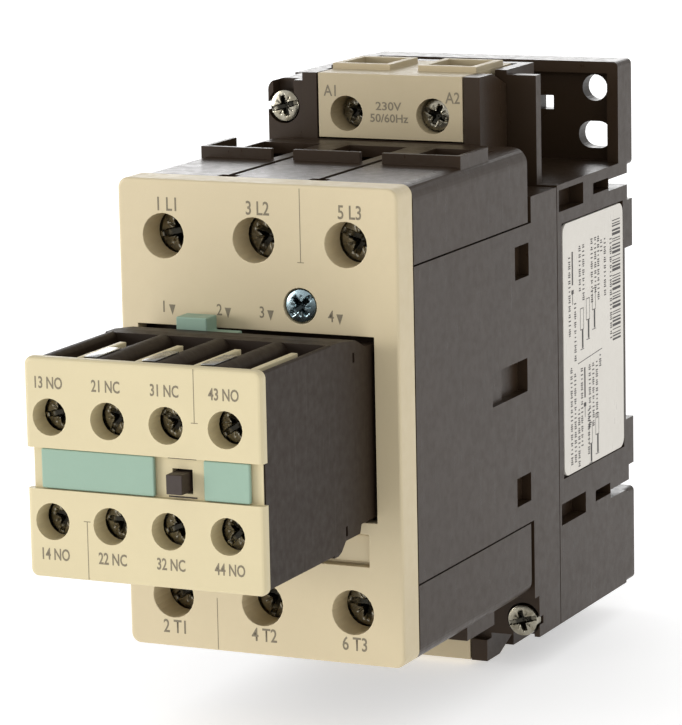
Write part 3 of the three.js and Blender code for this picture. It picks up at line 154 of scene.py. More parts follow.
class Shader:
    """A material with a Principled surface, and short calls that add to its node tree."""

    def __init__(self, name):
        self.material = bpy.data.materials.new(name)
        self.material.use_nodes = True
        self.tree = self.material.node_tree
        self.surface = self.tree.nodes["Principled BSDF"]
        self.place = self.add("ShaderNodeTexCoord").outputs["Object"]

    def add(self, kind, **settings):
        node = self.tree.nodes.new(kind)
        for key, value in settings.items():
            setattr(node, key, value)
        return node

    def join(self, output, target):
        self.tree.links.new(output, target)

    def set(self, *pairs):
        for socket, value in pairs:
            self.surface.inputs[socket].default_value = value

    def stretched(self, scale):
        mapping = self.add("ShaderNodeMapping")
        mapping.inputs["Scale"].default_value = scale
        self.join(self.place, mapping.inputs["Vector"])
        return mapping.outputs["Vector"]

    def noise(self, per_mm, detail=2.0, stretch=(1, 1, 1)):
        texture = self.add("ShaderNodeTexNoise")
        texture.inputs["Scale"].default_value = per_mm / MM
        texture.inputs["Detail"].default_value = detail
        self.join(self.stretched(stretch), texture.inputs["Vector"])
        return texture.outputs["Fac"]

    def range(self, value, low, high, from_low=0.3, from_high=0.7):
        node = self.add("ShaderNodeMapRange")
        self.join(value, node.inputs["Value"])
        limits = (("From Min", from_low), ("From Max", from_high), ("To Min", low), ("To Max", high))
        for socket, limit in limits:
            node.inputs[socket].default_value = limit
        return node.outputs["Result"]

    def maths(self, operation, first, second):
        node = self.add("ShaderNodeMath", operation=operation)
        for value, socket in ((first, node.inputs[0]), (second, node.inputs[1])):
            if isinstance(value, (int, float)):
                socket.default_value = value
            else:
                self.join(value, socket)
        return node.outputs[0]

    def mix(self, factor, first, second):
        node = self.add("ShaderNodeMix", data_type="RGBA")
        self.join(factor, node.inputs[0])
        for value, socket in ((first, node.inputs[6]), (second, node.inputs[7])):
            if isinstance(value, tuple):
                socket.default_value = value
            else:
                self.join(value, socket)
        return node.outputs[2]

    def bump(self, *layers):
        """Each layer is a height value and its depth in mm."""
        normal = None
        for height, depth in layers:
            node = self.add("ShaderNodeBump")
            node.inputs["Distance"].default_value = depth * MM
            node.inputs["Strength"].default_value = 1
            self.join(height, node.inputs["Height"])
            if normal is not None:
                self.join(normal, node.inputs["Normal"])
            normal = node.outputs["Normal"]
        self.join(normal, self.surface.inputs["Normal"])

    def edges(self, radius):
        """Near 1 on the edges of the shape and 0 on its faces."""
        rounded = self.add("ShaderNodeBevel", samples=3)
        rounded.inputs["Radius"].default_value = radius * MM
        true = self.add("ShaderNodeNewGeometry")
        dot = self.add("ShaderNodeVectorMath", operation="DOT_PRODUCT")
        self.join(rounded.outputs["Normal"], dot.inputs[0])
        self.join(true.outputs["Normal"], dot.inputs[1])
        return self.range(dot.outputs["Value"], 1, 0, 0.75, 0.99)


def plastic(name, rgb, rough=(0.42, 0.58), grain=0.012, mottle=0.06, wear_and_highlight=0.25, gloss=0.5):
    """Moulded plastic: spark eroded grain, slow mottling, rubbed streaks, and paler edges that are
    partly worn and partly a painted highlight.
    """
    shader = Shader(name)
    base = linear(rgb)
    slow = shader.noise(0.05, 3)
    cloud = shader.noise(0.6, 4)
    fleck = shader.noise(4.5, 2)
    streak = shader.noise(0.35, 5, stretch=(1, 6, 0.25))
    darker = scaled(base, 1 - mottle)
    colour = shader.mix(shader.range(slow, 0, 1), darker, scaled(base, 1 + mottle))
    colour = shader.mix(shader.range(cloud, 0, 0.35), colour, darker)
    flecks = shader.range(fleck, 0, 0.3, 0.5, 0.8)
    colour = shader.mix(flecks, colour, scaled(base, 1 + 2 * mottle))
    # Paler edges: partly rubbed wear and partly a painted edge highlight.
    worn_and_highlit = shader.maths("MULTIPLY", shader.edges(0.35), shader.range(cloud, 0.4, 1))
    colour = shader.mix(shader.maths("MULTIPLY", worn_and_highlit, wear_and_highlight), colour, scaled(base, 1.6))
    shader.join(colour, shader.surface.inputs["Base Color"])
    rubbed = shader.range(streak, 0, 0.07, 0.6, 0.68)
    matt = shader.range(cloud, rough[0], rough[1])
    shader.join(shader.maths("SUBTRACT", matt, rubbed), shader.surface.inputs["Roughness"])
    shader.set(("Specular IOR Level", gloss))
    shader.bump((shader.noise(5.0, 3), grain), (shader.noise(0.12, 2), 0.03))
    return shader.material


def metal(name, rgb, rough=(0.25, 0.45), grain=0.008, tarnish=None, stretch=(1, 1, 1)):
    """Plated or bare metal: tarnish, fine scratches, a pitted skin and painted shade in the recesses.

    A mesh that has no "recess" attribute gets no painted shade.
    """
    shader = Shader(name)
    base = linear(rgb)
    blotch = shader.noise(0.5, 5)
    fine = shader.noise(3.5, 4, stretch=stretch)
    scratch = shader.noise(1.6, 5, stretch=(6, 0.4, 1))
    dull = linear(tarnish) if tarnish else scaled(base, 0.6)
    colour = shader.mix(shader.range(blotch, 0, 0.8, 0.42, 0.66), base, dull)
    colour = shader.mix(shader.range(fine, 0, 0.35), colour, scaled(base, 0.7))
    # Brighter edges: partly wear and partly a painted edge highlight.
    worn_and_highlit = shader.maths("MULTIPLY", shader.edges(0.2), 0.6)
    colour = shader.mix(worn_and_highlit, colour, scaled(base, 1.35))
    # Painted shade: the recess attribute darkens the colour to a tenth inside the driver recess.
    recess = shader.add("ShaderNodeAttribute", attribute_name="recess").outputs["Fac"]
    colour = shader.mix(recess, colour, scaled(base, 0.1))
    shader.join(colour, shader.surface.inputs["Base Color"])
    shader.set(("Metallic", 1.0))
    shader.join(shader.range(blotch, rough[0], rough[1]), shader.surface.inputs["Roughness"])
    shader.bump((fine, grain), (scratch, grain))
    return shader.material


WAVES_PER_UNIT = 3.18  # bands that a wave texture of scale 1 has in one unit of length


def banded_metal(name, rgb, per_mm, axis, tarnish, depth=0.03):
    """Metal in thin layers or turns along one axis: laminations, or the rows of a winding."""
    shader = Shader(name)
    base = linear(rgb)
    wave = shader.add("ShaderNodeTexWave", wave_type="BANDS", bands_direction=axis)
    wave.inputs["Scale"].default_value = per_mm / MM / WAVES_PER_UNIT
    wave.inputs["Distortion"].default_value = 0.6
    shader.join(shader.place, wave.inputs["Vector"])
    bands = wave.outputs["Fac"]
    blotch = shader.noise(0.4, 4)
    colour = shader.mix(shader.range(bands, 0, 1, 0, 0.5), linear(tarnish), base)
    colour = shader.mix(shader.range(blotch, 0, 0.5), colour, scaled(base, 0.6))
    shader.join(colour, shader.surface.inputs["Base Color"])
    shader.set(("Metallic", 1.0))
    shader.join(shader.range(blotch, 0.35, 0.6), shader.surface.inputs["Roughness"])
    shader.bump((bands, depth), (blotch, 0.01))
    return shader.material


def ink(name, rgb):
    """Printed ink: slightly uneven cover and a matt, faintly grainy face."""
    shader = Shader(name)
    base = linear(rgb)
    patchy = shader.noise(2.5, 4)
    colour = shader.mix(shader.range(patchy, 0, 1), base, scaled(base, 1.35))
    shader.join(colour, shader.surface.inputs["Base Color"])
    shader.join(shader.range(patchy, 0.55, 0.75), shader.surface.inputs["Roughness"])
    shader.bump((patchy, 0.004))
    return shader.material


SATIN = (0.3, 0.4)
PLATED = (0.16, 0.34)
MATERIALS = {
    "dark_plastic": plastic("dark_plastic", (51, 39, 28), rough=SATIN, wear_and_highlight=0.3, gloss=0.18),
    "inner_plastic": plastic("inner_plastic", (46, 33, 25), rough=(0.45, 0.6)),
    "cream_plastic": plastic("cream_plastic", (203, 188, 154), mottle=0.03, wear_and_highlight=0.3),
    "aux_cream": plastic("aux_cream", (203, 190, 153), mottle=0.03, wear_and_highlight=0.3),
    "coil_cream": plastic("coil_cream", (182, 167, 135), mottle=0.03, wear_and_highlight=0.3),
    "teal_plastic": plastic("teal_plastic", (138, 165, 147), mottle=0.03, wear_and_highlight=0.2),
    "label_film": plastic("label_film", (215, 210, 200), SATIN, grain=0.003, mottle=0.03, wear_and_highlight=0.1),
    "bobbin_plastic": plastic("bobbin_plastic", (175, 168, 150), mottle=0.05),
    "zinc_steel": metal("zinc_steel", (166, 161, 146), rough=PLATED, tarnish=(104, 96, 76)),
    "blue_zinc": metal("blue_zinc", (162, 182, 188), rough=PLATED, tarnish=(108, 128, 136)),
    "core_steel": banded_metal("core_steel", (130, 126, 120), 2.0, "X", (60, 54, 50)),
    "spring_steel": metal("spring_steel", (165, 166, 166), rough=(0.2, 0.35)),
    "copper_alloy": metal("copper_alloy", (190, 128, 84), tarnish=(120, 74, 50)),
    "copper_wire": banded_metal("copper_wire", (176, 104, 62), 3.0, "Y", (70, 36, 22), 0.08),
}
grey_ink = ink("grey_ink", (112, 103, 84))
black_ink = ink("black_ink", (66, 63, 62))
matt_dark = plastic("matt_dark", (42, 31, 21), rough=(0.5, 0.62), wear_and_highlight=0.3, gloss=0.25)


# ---------------------------------------------------------------- CAD nodes

def soften(node, radius, merged):
    """Rounds a CAD node's sharp edges a little, as its mould does, without changing its mesh.

    Flat faces are merged first when merged is true; it is false for the nodes whose faces reach within
    0.1 mm of a parallel one.
    """
    weld = node.modifiers.new("weld", "WELD")
    weld.merge_threshold = 0.01 * MM
    if merged:
        flat = node.modifiers.new("flat", "DECIMATE")
        flat.decimate_type = "DISSOLVE"
        flat.angle_limit = math.radians(1)
    bevel = node.modifiers.new("edge", "BEVEL")
    bevel.width = radius * MM
    bevel.segments = 2
    bevel.limit_method = "ANGLE"
    bevel.angle_limit = math.radians(35)
    bevel.harden_normals = True


# Edge radius in mm of each moulded node.
SOFTENED = {
    "front_cover": 0.3,
    "aux_face": 0.2,
    "front_housing": 0.25,
    "rear_base": 0.25,
    "aux_housing": 0.2,
    "line_terminal_block": 0.25,
    "load_terminal_block": 0.25,
    "coil_terminal_upper": 0.25,
    "coil_terminal_lower": 0.25,
    "cover_insert": 0.2,
    "aux_label_left": 0.12,
    "aux_label_right": 0.12,
    "aux_plunger": 0.15,
    "release_lever": 0.25,
    "rail_slider": 0.2,
}
UNMERGED = ("coil_terminal_upper", "coil_terminal_lower")


def finish_cad_nodes():
    for node in nodes.values():
        slot_name = node.material_slots[0].material.name.split(".")[0]
        node.material_slots[0].material = MATERIALS[slot_name]
    nodes["aux_housing"].material_slots[0].material = matt_dark
    for name, radius in SOFTENED.items():
        soften(nodes[name], radius, merged=name not in UNMERGED)


# ---------------------------------------------------------------- new pieces

def new_piece(name, mesh, body, slot_name, material=None):
    piece = bpy.data.objects.new(name, mesh)
    bpy.context.scene.collection.objects.link(piece)
    mesh.materials.clear()
    mesh.materials.append(material or MATERIALS[slot_name])
    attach(piece, body)
    return piece


def mesh_of(name, vertices, faces, smooth_angle=None):
    mesh = bpy.data.meshes.new(name)
    mesh.from_pydata([tuple(v) for v in vertices], [], faces)
    mesh.validate()
    if smooth_angle is not None:
        mesh.shade_smooth()
        mesh.set_sharp_from_angle(angle=math.radians(smooth_angle))
    return mesh


def step(value, start, end):
    """0 before start, 1 after end and smooth between them."""
    t = min(1, max(0, (value - start) / (end - start)))
    return t * t * (3 - 2 * t)


# The driver recess, as shares of the head's radius.
CROSS_DEPTH = 0.42
CROSS_REACH = 0.66
SLOT_DEPTH = 0.13
TICK_DEPTH = 0.06
SHADED_DEPTH = 0.22  # a recess this deep gets the full painted shade


def recess_depth(x, z, radius, turn):
    """How deep the driver recess is at a point of a screw head: a tapered cross and a slot."""
    u = (x * math.cos(turn) + z * math.sin(turn)) / radius
    v = (z * math.cos(turn) - x * math.sin(turn)) / radius
    cross = 0
    for along, across in ((abs(u), abs(v)), (abs(v), abs(u))):
        arm = 1 - step(across, 0.13, 0.18)
        taper = max(0, 1 - along / CROSS_REACH) ** 0.5
        cross = max(cross, taper * arm)
    slot = (1 - step(abs(v), 0.1, 0.14)) * (1 - step(abs(u), 0.9, 0.98))
    diagonal_u = abs(u + v) / math.sqrt(2)
    diagonal_v = abs(u - v) / math.sqrt(2)
    tick = 0
    for along, across in ((diagonal_u, diagonal_v), (diagonal_v, diagonal_u)):
        inside = step(along, 0.3, 0.36) * (1 - step(along, 0.6, 0.66))
        tick = max(tick, inside * (1 - step(across, 0.02, 0.06)))
    return radius * max(CROSS_DEPTH * cross, SLOT_DEPTH * slot, TICK_DEPTH * tick)


# Rings of points across a screw's head, as shares of its radius: closest where the recess is.
HEAD_RINGS = [0.0, 0.06, 0.11, 0.15, 0.19, 0.24, 0.3, 0.36, 0.42,
              0.48, 0.54, 0.6, 0.66, 0.73, 0.8, 0.87, 0.93, 0.97]
DOME_DROP = 0.07  # how far a head's rim lies behind its middle, as a share of its radius
THREAD_PITCH = 0.32  # as shares of the shank's radius
THREAD_DEPTH = 0.14


def wall_faces(ring_count, sides):
    """The faces that join each ring of points to the next."""
    faces = []
    for r in range(ring_count - 1):
        for k in range(sides):
            nxt = (k + 1) % sides
            faces.append((r * sides + k, r * sides + nxt, (r + 1) * sides + nxt, (r + 1) * sides + k))
    return faces


def screw_mesh(name, centre, head, thickness, shank, length, turn, sides=96):
    """A pan head screw that points back along +Y, with a recess and a threaded shank.

    The middle of its head's front is at centre.
    """
    rings = []
    for share in HEAD_RINGS:
        ring = []
        for k in range(sides):
            angle = 2 * math.pi * k / sides
            x, z = share * head * math.cos(angle), share * head * math.sin(angle)
            dome = DOME_DROP * head * share ** 4
            ring.append(Vector((x, dome + recess_depth(x, z, head, turn), z)))
        rings.append(ring)

    def round_ring(radius, y):
        angles = [2 * math.pi * k / sides for k in range(sides)]
        return [Vector((radius * math.cos(a), y, radius * math.sin(a))) for a in angles]

    rings.append(round_ring(head, 0.2 * head))
    rings.append(round_ring(head, thickness - 0.15))
    rings.append(round_ring(head - 0.15, thickness))
    pitch = THREAD_PITCH * shank
    rows = int((length - thickness) / pitch * 4)
    for row in range(rows):
        y = thickness + (length - thickness) * row / rows
        ring = []
        for k in range(sides):
            phase = (y / pitch - k / sides) % 1
            groove = THREAD_DEPTH * shank * abs(2 * phase - 1) if row > 1 else 0
            angle = 2 * math.pi * k / sides
            radius = shank - groove
            ring.append(Vector((radius * math.cos(angle), y, radius * math.sin(angle))))
        rings.append(ring)
    rings.append(round_ring(0.7 * shank, length))
    vertices = [(centre + v) * MM for ring in rings for v in ring]
    faces = wall_faces(len(rings), sides)
    last = (len(rings) - 1) * sides
    faces.append(tuple(last + k for k in range(sides)))
    mesh = mesh_of(name, vertices, faces, 40)
    # The recess attribute carries painted shade, darker where the driver recess is deeper.
    recess = mesh.attributes.new("recess", "FLOAT", "POINT")
    for index in range(len(HEAD_RINGS) * sides):
        x, _, z = rings[index // sides][index % sides]
        recess.data[index].value = min(1, recess_depth(x, z, head, turn) / (SHADED_DEPTH * head))
    return mesh


def node_box(name):
    low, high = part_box(name)
    return low / MM, high / MM


# How far each screw of a row happens to be turned, in degrees.
RECESS_TURNS = [12, 58, -24, 35, 70, -8, 22, 49]
SCREW_KINDS = {
    "main": dict(thickness=2.9, shank=2.5),
    "coil": dict(thickness=2.2, shank=1.5),
    "aux": dict(thickness=2.2, shank=1.5),
    "housing": dict(thickness=2.2, shank=1.6),
    "cover": dict(thickness=2.2, shank=1.6),
}


def make_screw(node, kind, body, turn, slot_name="zinc_steel"):
    low, high = node_box(node)
    centre = Vector(((low.x + high.x) / 2, low.y, (low.z + high.z) / 2))
    head = (high.x - low.x) / 2
    sizes = SCREW_KINDS[kind]
    length = high.y - low.y
    mesh = screw_mesh(f"{node}_form", centre, head, sizes["thickness"], sizes["shank"],
                      length, math.radians(turn))
    piece = new_piece(f"{node}_look", mesh, body, slot_name)
    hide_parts(node)


def make_turning_screw(node, kind, turn):
    """A terminal screw, which rides on a body of its own name."""
    make_screw(node, kind, node, turn)


def make_screws():
    for pole in range(1, 4):
        make_turning_screw(f"line_screw_{pole}", "main", RECESS_TURNS[pole - 1])
        make_turning_screw(f"load_screw_{pole}", "main", RECESS_TURNS[pole + 2])
    for number in (1, 2):
        make_turning_screw(f"coil_screw_a{number}", "coil", RECESS_TURNS[number])
    for pole in range(1, 5):
        make_turning_screw(f"aux_screw_upper_{pole}", "aux", RECESS_TURNS[pole - 1])
        make_turning_screw(f"aux_screw_lower_{pole}", "aux", RECESS_TURNS[pole + 3])
    for place in ("upper", "lower"):
        make_screw(f"housing_screw_{place}", "housing", "base", 15)
        make_screw(f"cover_screw_{place}", "cover", "base", 40, "blue_zinc")


def coil_spring_mesh(name, foot, axis, length, radius, wire, turns, sides=8):
    """A round wire wound into a helix from foot along axis, its end turns closed and ground flat."""
    axis = Vector(axis)
    side = Vector((0, 0, 1)) if abs(axis.z) < 0.5 else Vector((1, 0, 0))
    other = axis.cross(side)
    steps = int(turns * 28)
    rings = []
    for i in range(steps + 1):
        share = i / steps
        turn = 2 * math.pi * turns * share
        closed = 1 / turns
        along = min(1, max(0, (share - closed) / (1 - 2 * closed)))
        rise = wire / 2 + (length - wire) * along
        out = side * math.cos(turn) + other * math.sin(turn)
        middle = Vector(foot) + axis * rise + out * (radius - wire / 2)
        ring = []
        for k in range(sides):
            angle = 2 * math.pi * k / sides
            across, up = wire / 2 * math.cos(angle), wire / 2 * math.sin(angle)
            ring.append((middle + out * across + axis * up) * MM)
        rings.append(ring)
    vertices = [v for ring in rings for v in ring]
    ends = [tuple(range(sides - 1, -1, -1)), tuple(steps * sides + k for k in range(sides))]
    return mesh_of(name, vertices, ends + wall_faces(len(rings), sides), 60)


RETURN_SPRING = dict(wire=0.8, turns=8)
RAIL_SPRING = dict(wire=0.5, turns=5)


def make_springs():
    for side in ("left", "right"):
        node = f"return_spring_{side}"
        low, high = node_box(node)
        foot = Vector(((low.x + high.x) / 2, high.y, (low.z + high.z) / 2))
        length, radius = high.y - low.y, (high.x - low.x) / 2
        mesh = coil_spring_mesh(f"{node}_form", foot, (0, -1, 0), length, radius, **RETURN_SPRING)
        spring = new_piece(f"{node}_look", mesh, "base", "spring_steel")
        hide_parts(node)
        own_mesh(spring)
    low, high = node_box("rail_spring")
    foot = Vector(((low.x + high.x) / 2, (low.y + high.y) / 2, high.z))
    length, radius = high.z - low.z, (high.y - low.y) / 2
    mesh = coil_spring_mesh("rail_spring_form", foot, (0, 0, -1), length, radius, **RAIL_SPRING)
    spring = new_piece("rail_spring_look", mesh, "base", "spring_steel")
    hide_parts("rail_spring")
    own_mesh(spring)


# ---------------------------------------------------------------- printed marks

PRINT_RISE = 0.02  # the print stands this far off its face
CAP_HEIGHT = 0.72  # height of a capital letter, as a share of the font's size
FINE_LINE = 0.13


class Print:
    """Thin printed shapes gathered on one flat face: text, bars and triangles."""

    def __init__(self):
        self.form = bmesh.new()

    def add_mesh(self, mesh, matrix):
        mesh.transform(matrix)
        self.form.from_mesh(mesh)
        bpy.data.meshes.remove(mesh)

    def text(self, words, matrix, height, stretch=1.0, bold=0.0):
        curve = bpy.data.curves.new("mark", "FONT")
        curve.body = words
        curve.align_x = "CENTER"
        curve.align_y = "CENTER"
        curve.resolution_u = 3
        curve.size = height / CAP_HEIGHT
        curve.offset = bold
        holder = bpy.data.objects.new("mark", curve)
        bpy.context.scene.collection.objects.link(holder)
        bpy.context.view_layer.update()
        graph = bpy.context.evaluated_depsgraph_get()
        mesh = bpy.data.meshes.new_from_object(holder.evaluated_get(graph))
        bpy.data.objects.remove(holder)
        bpy.data.curves.remove(curve)
        self.add_mesh(mesh, matrix @ Matrix.Diagonal((stretch, 1, 1, 1)))

    def shape(self, points, matrix):
        corners = [self.form.verts.new(matrix @ Vector((u, v, 0))) for u, v in points]
        self.form.faces.new(corners)

    def bar(self, centre, width, height, matrix):
        left, right = centre[0] - width / 2, centre[0] + width / 2
        low, high = centre[1] - height / 2, centre[1] + height / 2
        self.shape([(left, low), (right, low), (right, high), (left, high)], matrix)

    def finish(self, name, body, slot_name, material):
        mesh = bpy.data.meshes.new(name)
        bmesh.ops.scale(self.form, vec=(MM, MM, MM), verts=self.form.verts)
        self.form.to_mesh(mesh)
        self.form.free()
        return new_piece(name, mesh, body, slot_name, material)


def on_front(x, y, z):
    """A frame on a face that looks along -Y, its first axis along +X and its second along +Z."""
    return Matrix.Translation((x, y - PRINT_RISE, z)) @ Matrix.Rotation(math.pi / 2, 4, "X")


def t_line(printed, x, y, z_from, z_to):
    """A thin line between two heights with a cross stroke at its second end."""
    face = on_front(x, y, 0)
    printed.bar((0, (z_from + z_to) / 2), FINE_LINE, abs(z_from - z_to), face)
    printed.bar((0, z_to), 1.3, FINE_LINE, face)


def axis_x(node):
    low, high = node_box(node)
    return (low.x + high.x) / 2


def make_cover_marks():
    """Terminal marks above and below the screws, contact numbers and two thin lines."""
    low, high = node_box("front_cover")
    printed = Print()
    line_x = [axis_x(f"line_screw_{pole}") for pole in (1, 2, 3)]
    for x, words in zip(line_x, ("1 L1", "3 L2", "5 L3")):
        printed.text(words, on_front(x + 0.9, low.y, 39.8), 2.5, 0.78, 0.05)
    for x, words in zip(line_x, ("2 T1", "4 T2", "6 T3")):
        printed.text(words, on_front(x + 0.3, low.y, -38.05), 2.5, 0.78, 0.05)
    for x, words in zip((-18.75, -7.6, 0.86, 14.4), "1234"):
        printed.text(words, on_front(x, low.y, 21.2), 2.1, 0.8, 0.03)
        arrow = on_front(x + 1.7, low.y, 20.8)
        printed.shape([(-0.65, 0.95), (0, -0.95), (0.65, 0.95)], arrow)
    t_line(printed, 8.7, low.y, high.z - 0.6, 30.6)
    printed.bar((0, -36.6), FINE_LINE, 9.6, on_front(-9.6, low.y, 0))
    printed.finish("cover_marks", "base", "cream_plastic", grey_ink)


def make_aux_marks():
    """Contact marks above and below the screws, and two thin lines."""
    low, high = node_box("aux_face")
    printed = Print()
    upper = ("13 NO", "21 NC", "31 NC", "43 NO")
    lower = ("14 NO", "22 NC", "32 NC", "44 NO")
    for pole in range(4):
        x = axis_x(f"aux_screw_upper_{pole + 1}")
        printed.text(upper[pole], on_front(x - 0.1, low.y, 15.45), 2.05, 0.7, 0.06)
        printed.text(lower[pole], on_front(x + 0.3, low.y, -14.4), 2.05, 0.7, 0.06)
    t_line(printed, 9.9, low.y, high.z - 0.3, 10.4)
    t_line(printed, -11.1, low.y, low.z + 0.3, -8.1)
    printed.finish("aux_marks", "base", "aux_cream", grey_ink)


def make_coil_marks():
    """Terminal marks beside the two screws and the coil's voltage and frequency between them."""
    face = node_box("coil_terminal_upper")[0].y
    printed = Print()
    printed.text("A1", on_front(-13.6, face, 53.4), 2.2, 0.85, 0.04)
    printed.text("A2", on_front(11.8, face, 52.7), 2.2, 0.85, 0.04)
    printed.text("230V", on_front(-1.6, face, 50.75), 1.6, 1.15, 0.04)
    printed.text("50/60Hz", on_front(-1.5, face, 48.45), 1.6, 1.05, 0.04)
    printed.finish("coil_marks", "base", "coil_cream", grey_ink)


# ---------------------------------------------------------------- rating label

# Rows of small print as (place across, start, end), as shares of the label from its front and top edges.
TEXT_ROWS = (
    (0.10, 0.14, 0.46),
    (0.19, 0.33, 0.55),
    (0.27, 0.11, 0.30),
    (0.33, 0.11, 0.34),
    (0.47, 0.10, 0.33),
    (0.53, 0.10, 0.33),
    (0.58, 0.10, 0.33),
    (0.63, 0.12, 0.17),
    (0.69, 0.12, 0.36),
    (0.79, 0.13, 0.54),
    (0.12, 0.58, 0.96),
    (0.18, 0.61, 0.97),
    (0.24, 0.76, 0.98),
    (0.29, 0.60, 0.92),
    (0.40, 0.78, 0.97),
    (0.42, 0.60, 0.84),
    (0.48, 0.60, 0.84),
    (0.54, 0.60, 0.84),
    (0.60, 0.58, 0.63),
)
WORD_LENGTHS = (0.8, 1.5, 0.5, 1.9, 1.1)
LABEL_CORNER = 2
LABEL_PRINT_DROP = 0.02  # the print lies this far inside the label's box
LABEL_SHEET_DROP = 0.05
LABEL_CENTRE = (0.43, 0.565)  # in the same shares
OUTLINE = 0.14  # width of the label's thin lines


def make_rating_label():
    """The film with rounded corners, and print that only looks like writing and symbols."""
    low, high = node_box("rating_label")
    sheet_x = high.x - LABEL_SHEET_DROP
    rim = LABEL_CORNER
    middles = ((high.y - rim, high.z - rim), (low.y + rim, high.z - rim),
               (low.y + rim, low.z + rim), (high.y - rim, low.z + rim))
    corners = []
    for quarter, (y, z) in enumerate(middles):
        for part in range(7):
            angle = math.radians(quarter * 90 + part * 15)
            corners.append((y + rim * math.cos(angle), z + rim * math.sin(angle)))
    count = len(corners)
    vertices = [Vector((x, y, z)) * MM for x in (low.x, sheet_x) for y, z in corners]
    faces = [tuple(range(count - 1, -1, -1)), tuple(count + k for k in range(count))]
    faces += [(k, (k + 1) % count, count + (k + 1) % count, count + k) for k in range(count)]
    sheet_mesh = mesh_of("label_sheet", vertices, faces, 30)
    sheet = new_piece("label_sheet", sheet_mesh, "base", "label_film")
    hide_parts("rating_label")
    printed = Print()
    face = label_frame(low, high)
    print_code(printed, face)
    for u, start, end in TEXT_ROWS:
        print_row(printed, face, u, start, end)
    for u, v in ((0.40, 0.40), (0.30, 0.43), (0.50, 0.37), (0.43, 0.905), (0.54, 0.88)):
        print_terminal(printed, face, u, v)
    for u, start, end in ((0.15, 0.12, 0.30), (0.34, 0.60, 0.77)):
        print_driver(printed, face, u, start, end)
    printed.bar(face(*LABEL_CENTRE)[:2], 13.0, OUTLINE, side_frame(face, 4))
    printed.finish("label_print", "base", "label_film", black_ink)


def label_frame(low, high):
    """Returns a call that turns shares across and down the label into a point of its face."""
    def point(across, down):
        y = low.y + across * (high.y - low.y)
        z = high.z - down * (high.z - low.z)
        return y, z, high.x - LABEL_PRINT_DROP
    return point


def side_frame(face, spin=0):
    """A frame at the label's plane, for bars placed by their own y and z."""
    x = face(0, 0)[2]
    turn = Matrix.Rotation(math.radians(spin), 4, "X")
    middle = Matrix.Translation((0, *face(*LABEL_CENTRE)[:2]))
    plane = Matrix(((0, 0, 1, x), (1, 0, 0, 0), (0, 1, 0, 0), (0, 0, 0, 1)))
    return middle @ turn @ middle.inverted() @ plane


def print_code(printed, face):
    """A plain row of bars along the rear edge."""
    place = side_frame(face)
    y, z, _ = face(0.885, 0.06)
    end = face(0, 0.55)[1]
    index = 0
    while z > end:
        wide = (0.18, 0.38, 0.18, 0.55, 0.28)[(index * 7) % 5]
        printed.bar((y, z), 4.4, wide, place)
        z -= wide + (0.42, 0.3, 0.6, 0.36)[(index * 5) % 4]
        index += 1


STROKE_PITCH = 0.42
STROKE_WIDTH = 0.24
WORD_SPACE = 0.4


def print_row(printed, face, across, start, end):
    """A row of short strokes that stands for small print."""
    place = side_frame(face)
    y, z, _ = face(across, start)
    last = face(0, end)[1]
    index = int(across * 100)
    while z > last:
        length = WORD_LENGTHS[index * 3 % 5]
        strokes = max(1, int(length / STROKE_PITCH))
        for stroke in range(strokes):
            tall = 1.05 if (index + stroke) % 3 else 0.7
            printed.bar((y, z - stroke * STROKE_PITCH), tall, STROKE_WIDTH, place)
        z -= strokes * STROKE_PITCH + WORD_SPACE
        index += 1


def print_terminal(printed, face, across, down):
    """The outline of a stripped wire end."""
    place = side_frame(face)
    y, z, _ = face(across, down)
    for side in (-0.85, 0.85):
        printed.bar((y + side, z + 1.4), OUTLINE, 4.2, place)
    for end in (-0.7, 3.5):
        printed.bar((y, z + end), 1.84, OUTLINE, place)
    printed.bar((y + 0.3, z - 2.6), 0.75, 3.6, place)
    printed.bar((y, z - 4.6), 1.9, OUTLINE, place)


def print_driver(printed, face, across, start, end):
    """A plain screwdriver: a thick grip, a collar and a thin blade."""
    place = side_frame(face)
    y, top, _ = face(across, start)
    low = face(0, end)[1]
    printed.bar((y, (top + low) / 2 + 1.2), 0.62, top - low - 2.4, place)
    printed.bar((y, low + 1.0), 1.15, 0.8, place)
    printed.bar((y, low - 0.4), 0.22, 2.2, place)


# ---------------------------------------------------------------- strips on the auxiliary block

def slab_mesh(name, low, high, edge):
    """A block between two corners with its edges rounded a little."""
    form = bmesh.new()
    bmesh.ops.create_cube(form, size=1)
    size = Vector(high) - Vector(low)
    bmesh.ops.scale(form, vec=size, verts=form.verts)
    bmesh.ops.translate(form, vec=(Vector(high) + Vector(low)) / 2, verts=form.verts)
    bmesh.ops.bevel(form, geom=form.edges[:], offset=edge, segments=2, profile=0.5, affect="EDGES")
    bmesh.ops.scale(form, vec=(MM, MM, MM), verts=form.verts)
    mesh = bpy.data.meshes.new(name)
    form.to_mesh(mesh)
    form.free()
    mesh.shade_smooth()
    mesh.set_sharp_from_angle(angle=math.radians(40))
    return mesh


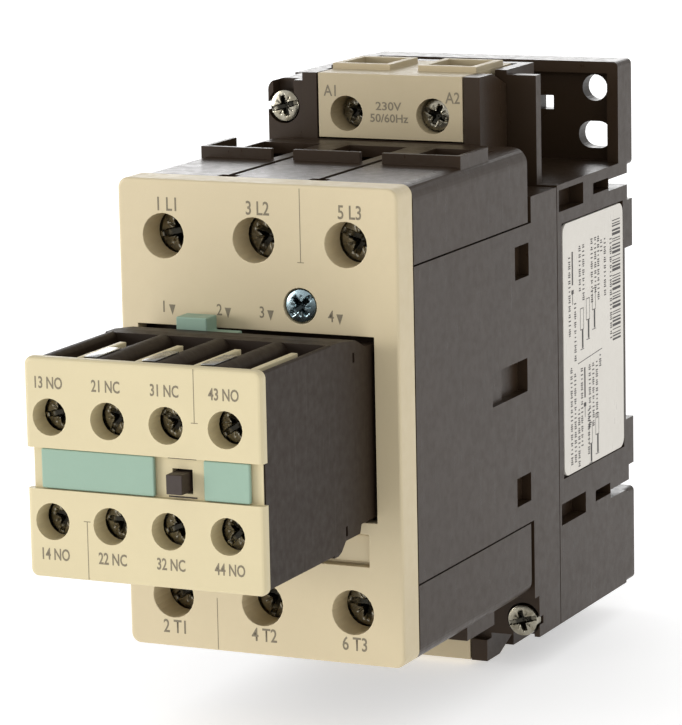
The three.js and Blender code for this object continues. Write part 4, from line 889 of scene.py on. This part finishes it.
RIDGE_LEFT = 5.8  # a ridge of the auxiliary block starts this far left of a screw's axis
WALL_RIGHT = 4.9  # its right wall starts this far right of the last screw's axis
RIB_LENGTH = 15.5
STRIP_LENGTH = 9


def make_aux_rib(name, ridge, rear, top):
    """A cream rib left of a ridge or wall."""
    rib = slab_mesh(name, (ridge - 2.1, rear, top - 3.4), (ridge - 0.8, rear + RIB_LENGTH, top), 0.15)
    new_piece(name, rib, "base", "aux_cream")


def make_aux_strip(name, ridge, rear, top):
    """A thin plated strip that lies on a ridge."""
    low = (ridge - 0.7, rear, top + 0.05)
    high = (ridge + 1.7, rear + STRIP_LENGTH, top + 0.25)
    new_piece(name, slab_mesh(name, low, high, 0.06), "base", "spring_steel")


def make_aux_strips():
    """Ribs and strips on top of the auxiliary block, close behind its face."""
    face_high = node_box("aux_face")[1]
    rear = face_high.y + 0.2
    top = face_high.z - 0.5
    for pole in range(2, 5):
        ridge = axis_x(f"aux_screw_upper_{pole}") - RIDGE_LEFT
        make_aux_rib(f"aux_rib_{pole}", ridge, rear, top)
        make_aux_strip(f"aux_strip_{pole}", ridge, rear, top)
    make_aux_rib("aux_rib_5", axis_x("aux_screw_upper_4") + WALL_RIGHT, rear, top)


PLUNGER_X = 6.7
GROOVE_DEPTH = 1.4


def make_plunger_slits():
    """Two thin dark bars on the floor of the face's groove, above and below the plunger: painted shade
    where its slits are.
    """
    floor = node_box("aux_face")[0].y + GROOVE_DEPTH
    printed = Print()
    for z in (3.9, -2.75):
        printed.bar((0, 0), 5.4, 0.28, on_front(PLUNGER_X, floor, z))
    printed.finish("plunger_slits", "base", "inner_plastic", MATERIALS["inner_plastic"])


# ---------------------------------------------------------------- build

make_camera()
bpy.context.scene.view_settings.view_transform = "Standard"
make_world(0.95, 0.6)
make_floor(cad_box[0].z - FLOOR_DROP)
area_light("key", (-1.1, -0.95, 0.1), (0.6, 0.6), 13, (1, 0.98, 0.95))
area_light("back", (-0.85, 1.8, 0.45), (1.6, 0.7), 11)
finish_cad_nodes()
make_screws()
make_springs()
make_cover_marks()
make_aux_marks()
make_coil_marks()
make_rating_label()
make_aux_strips()
make_plunger_slits()
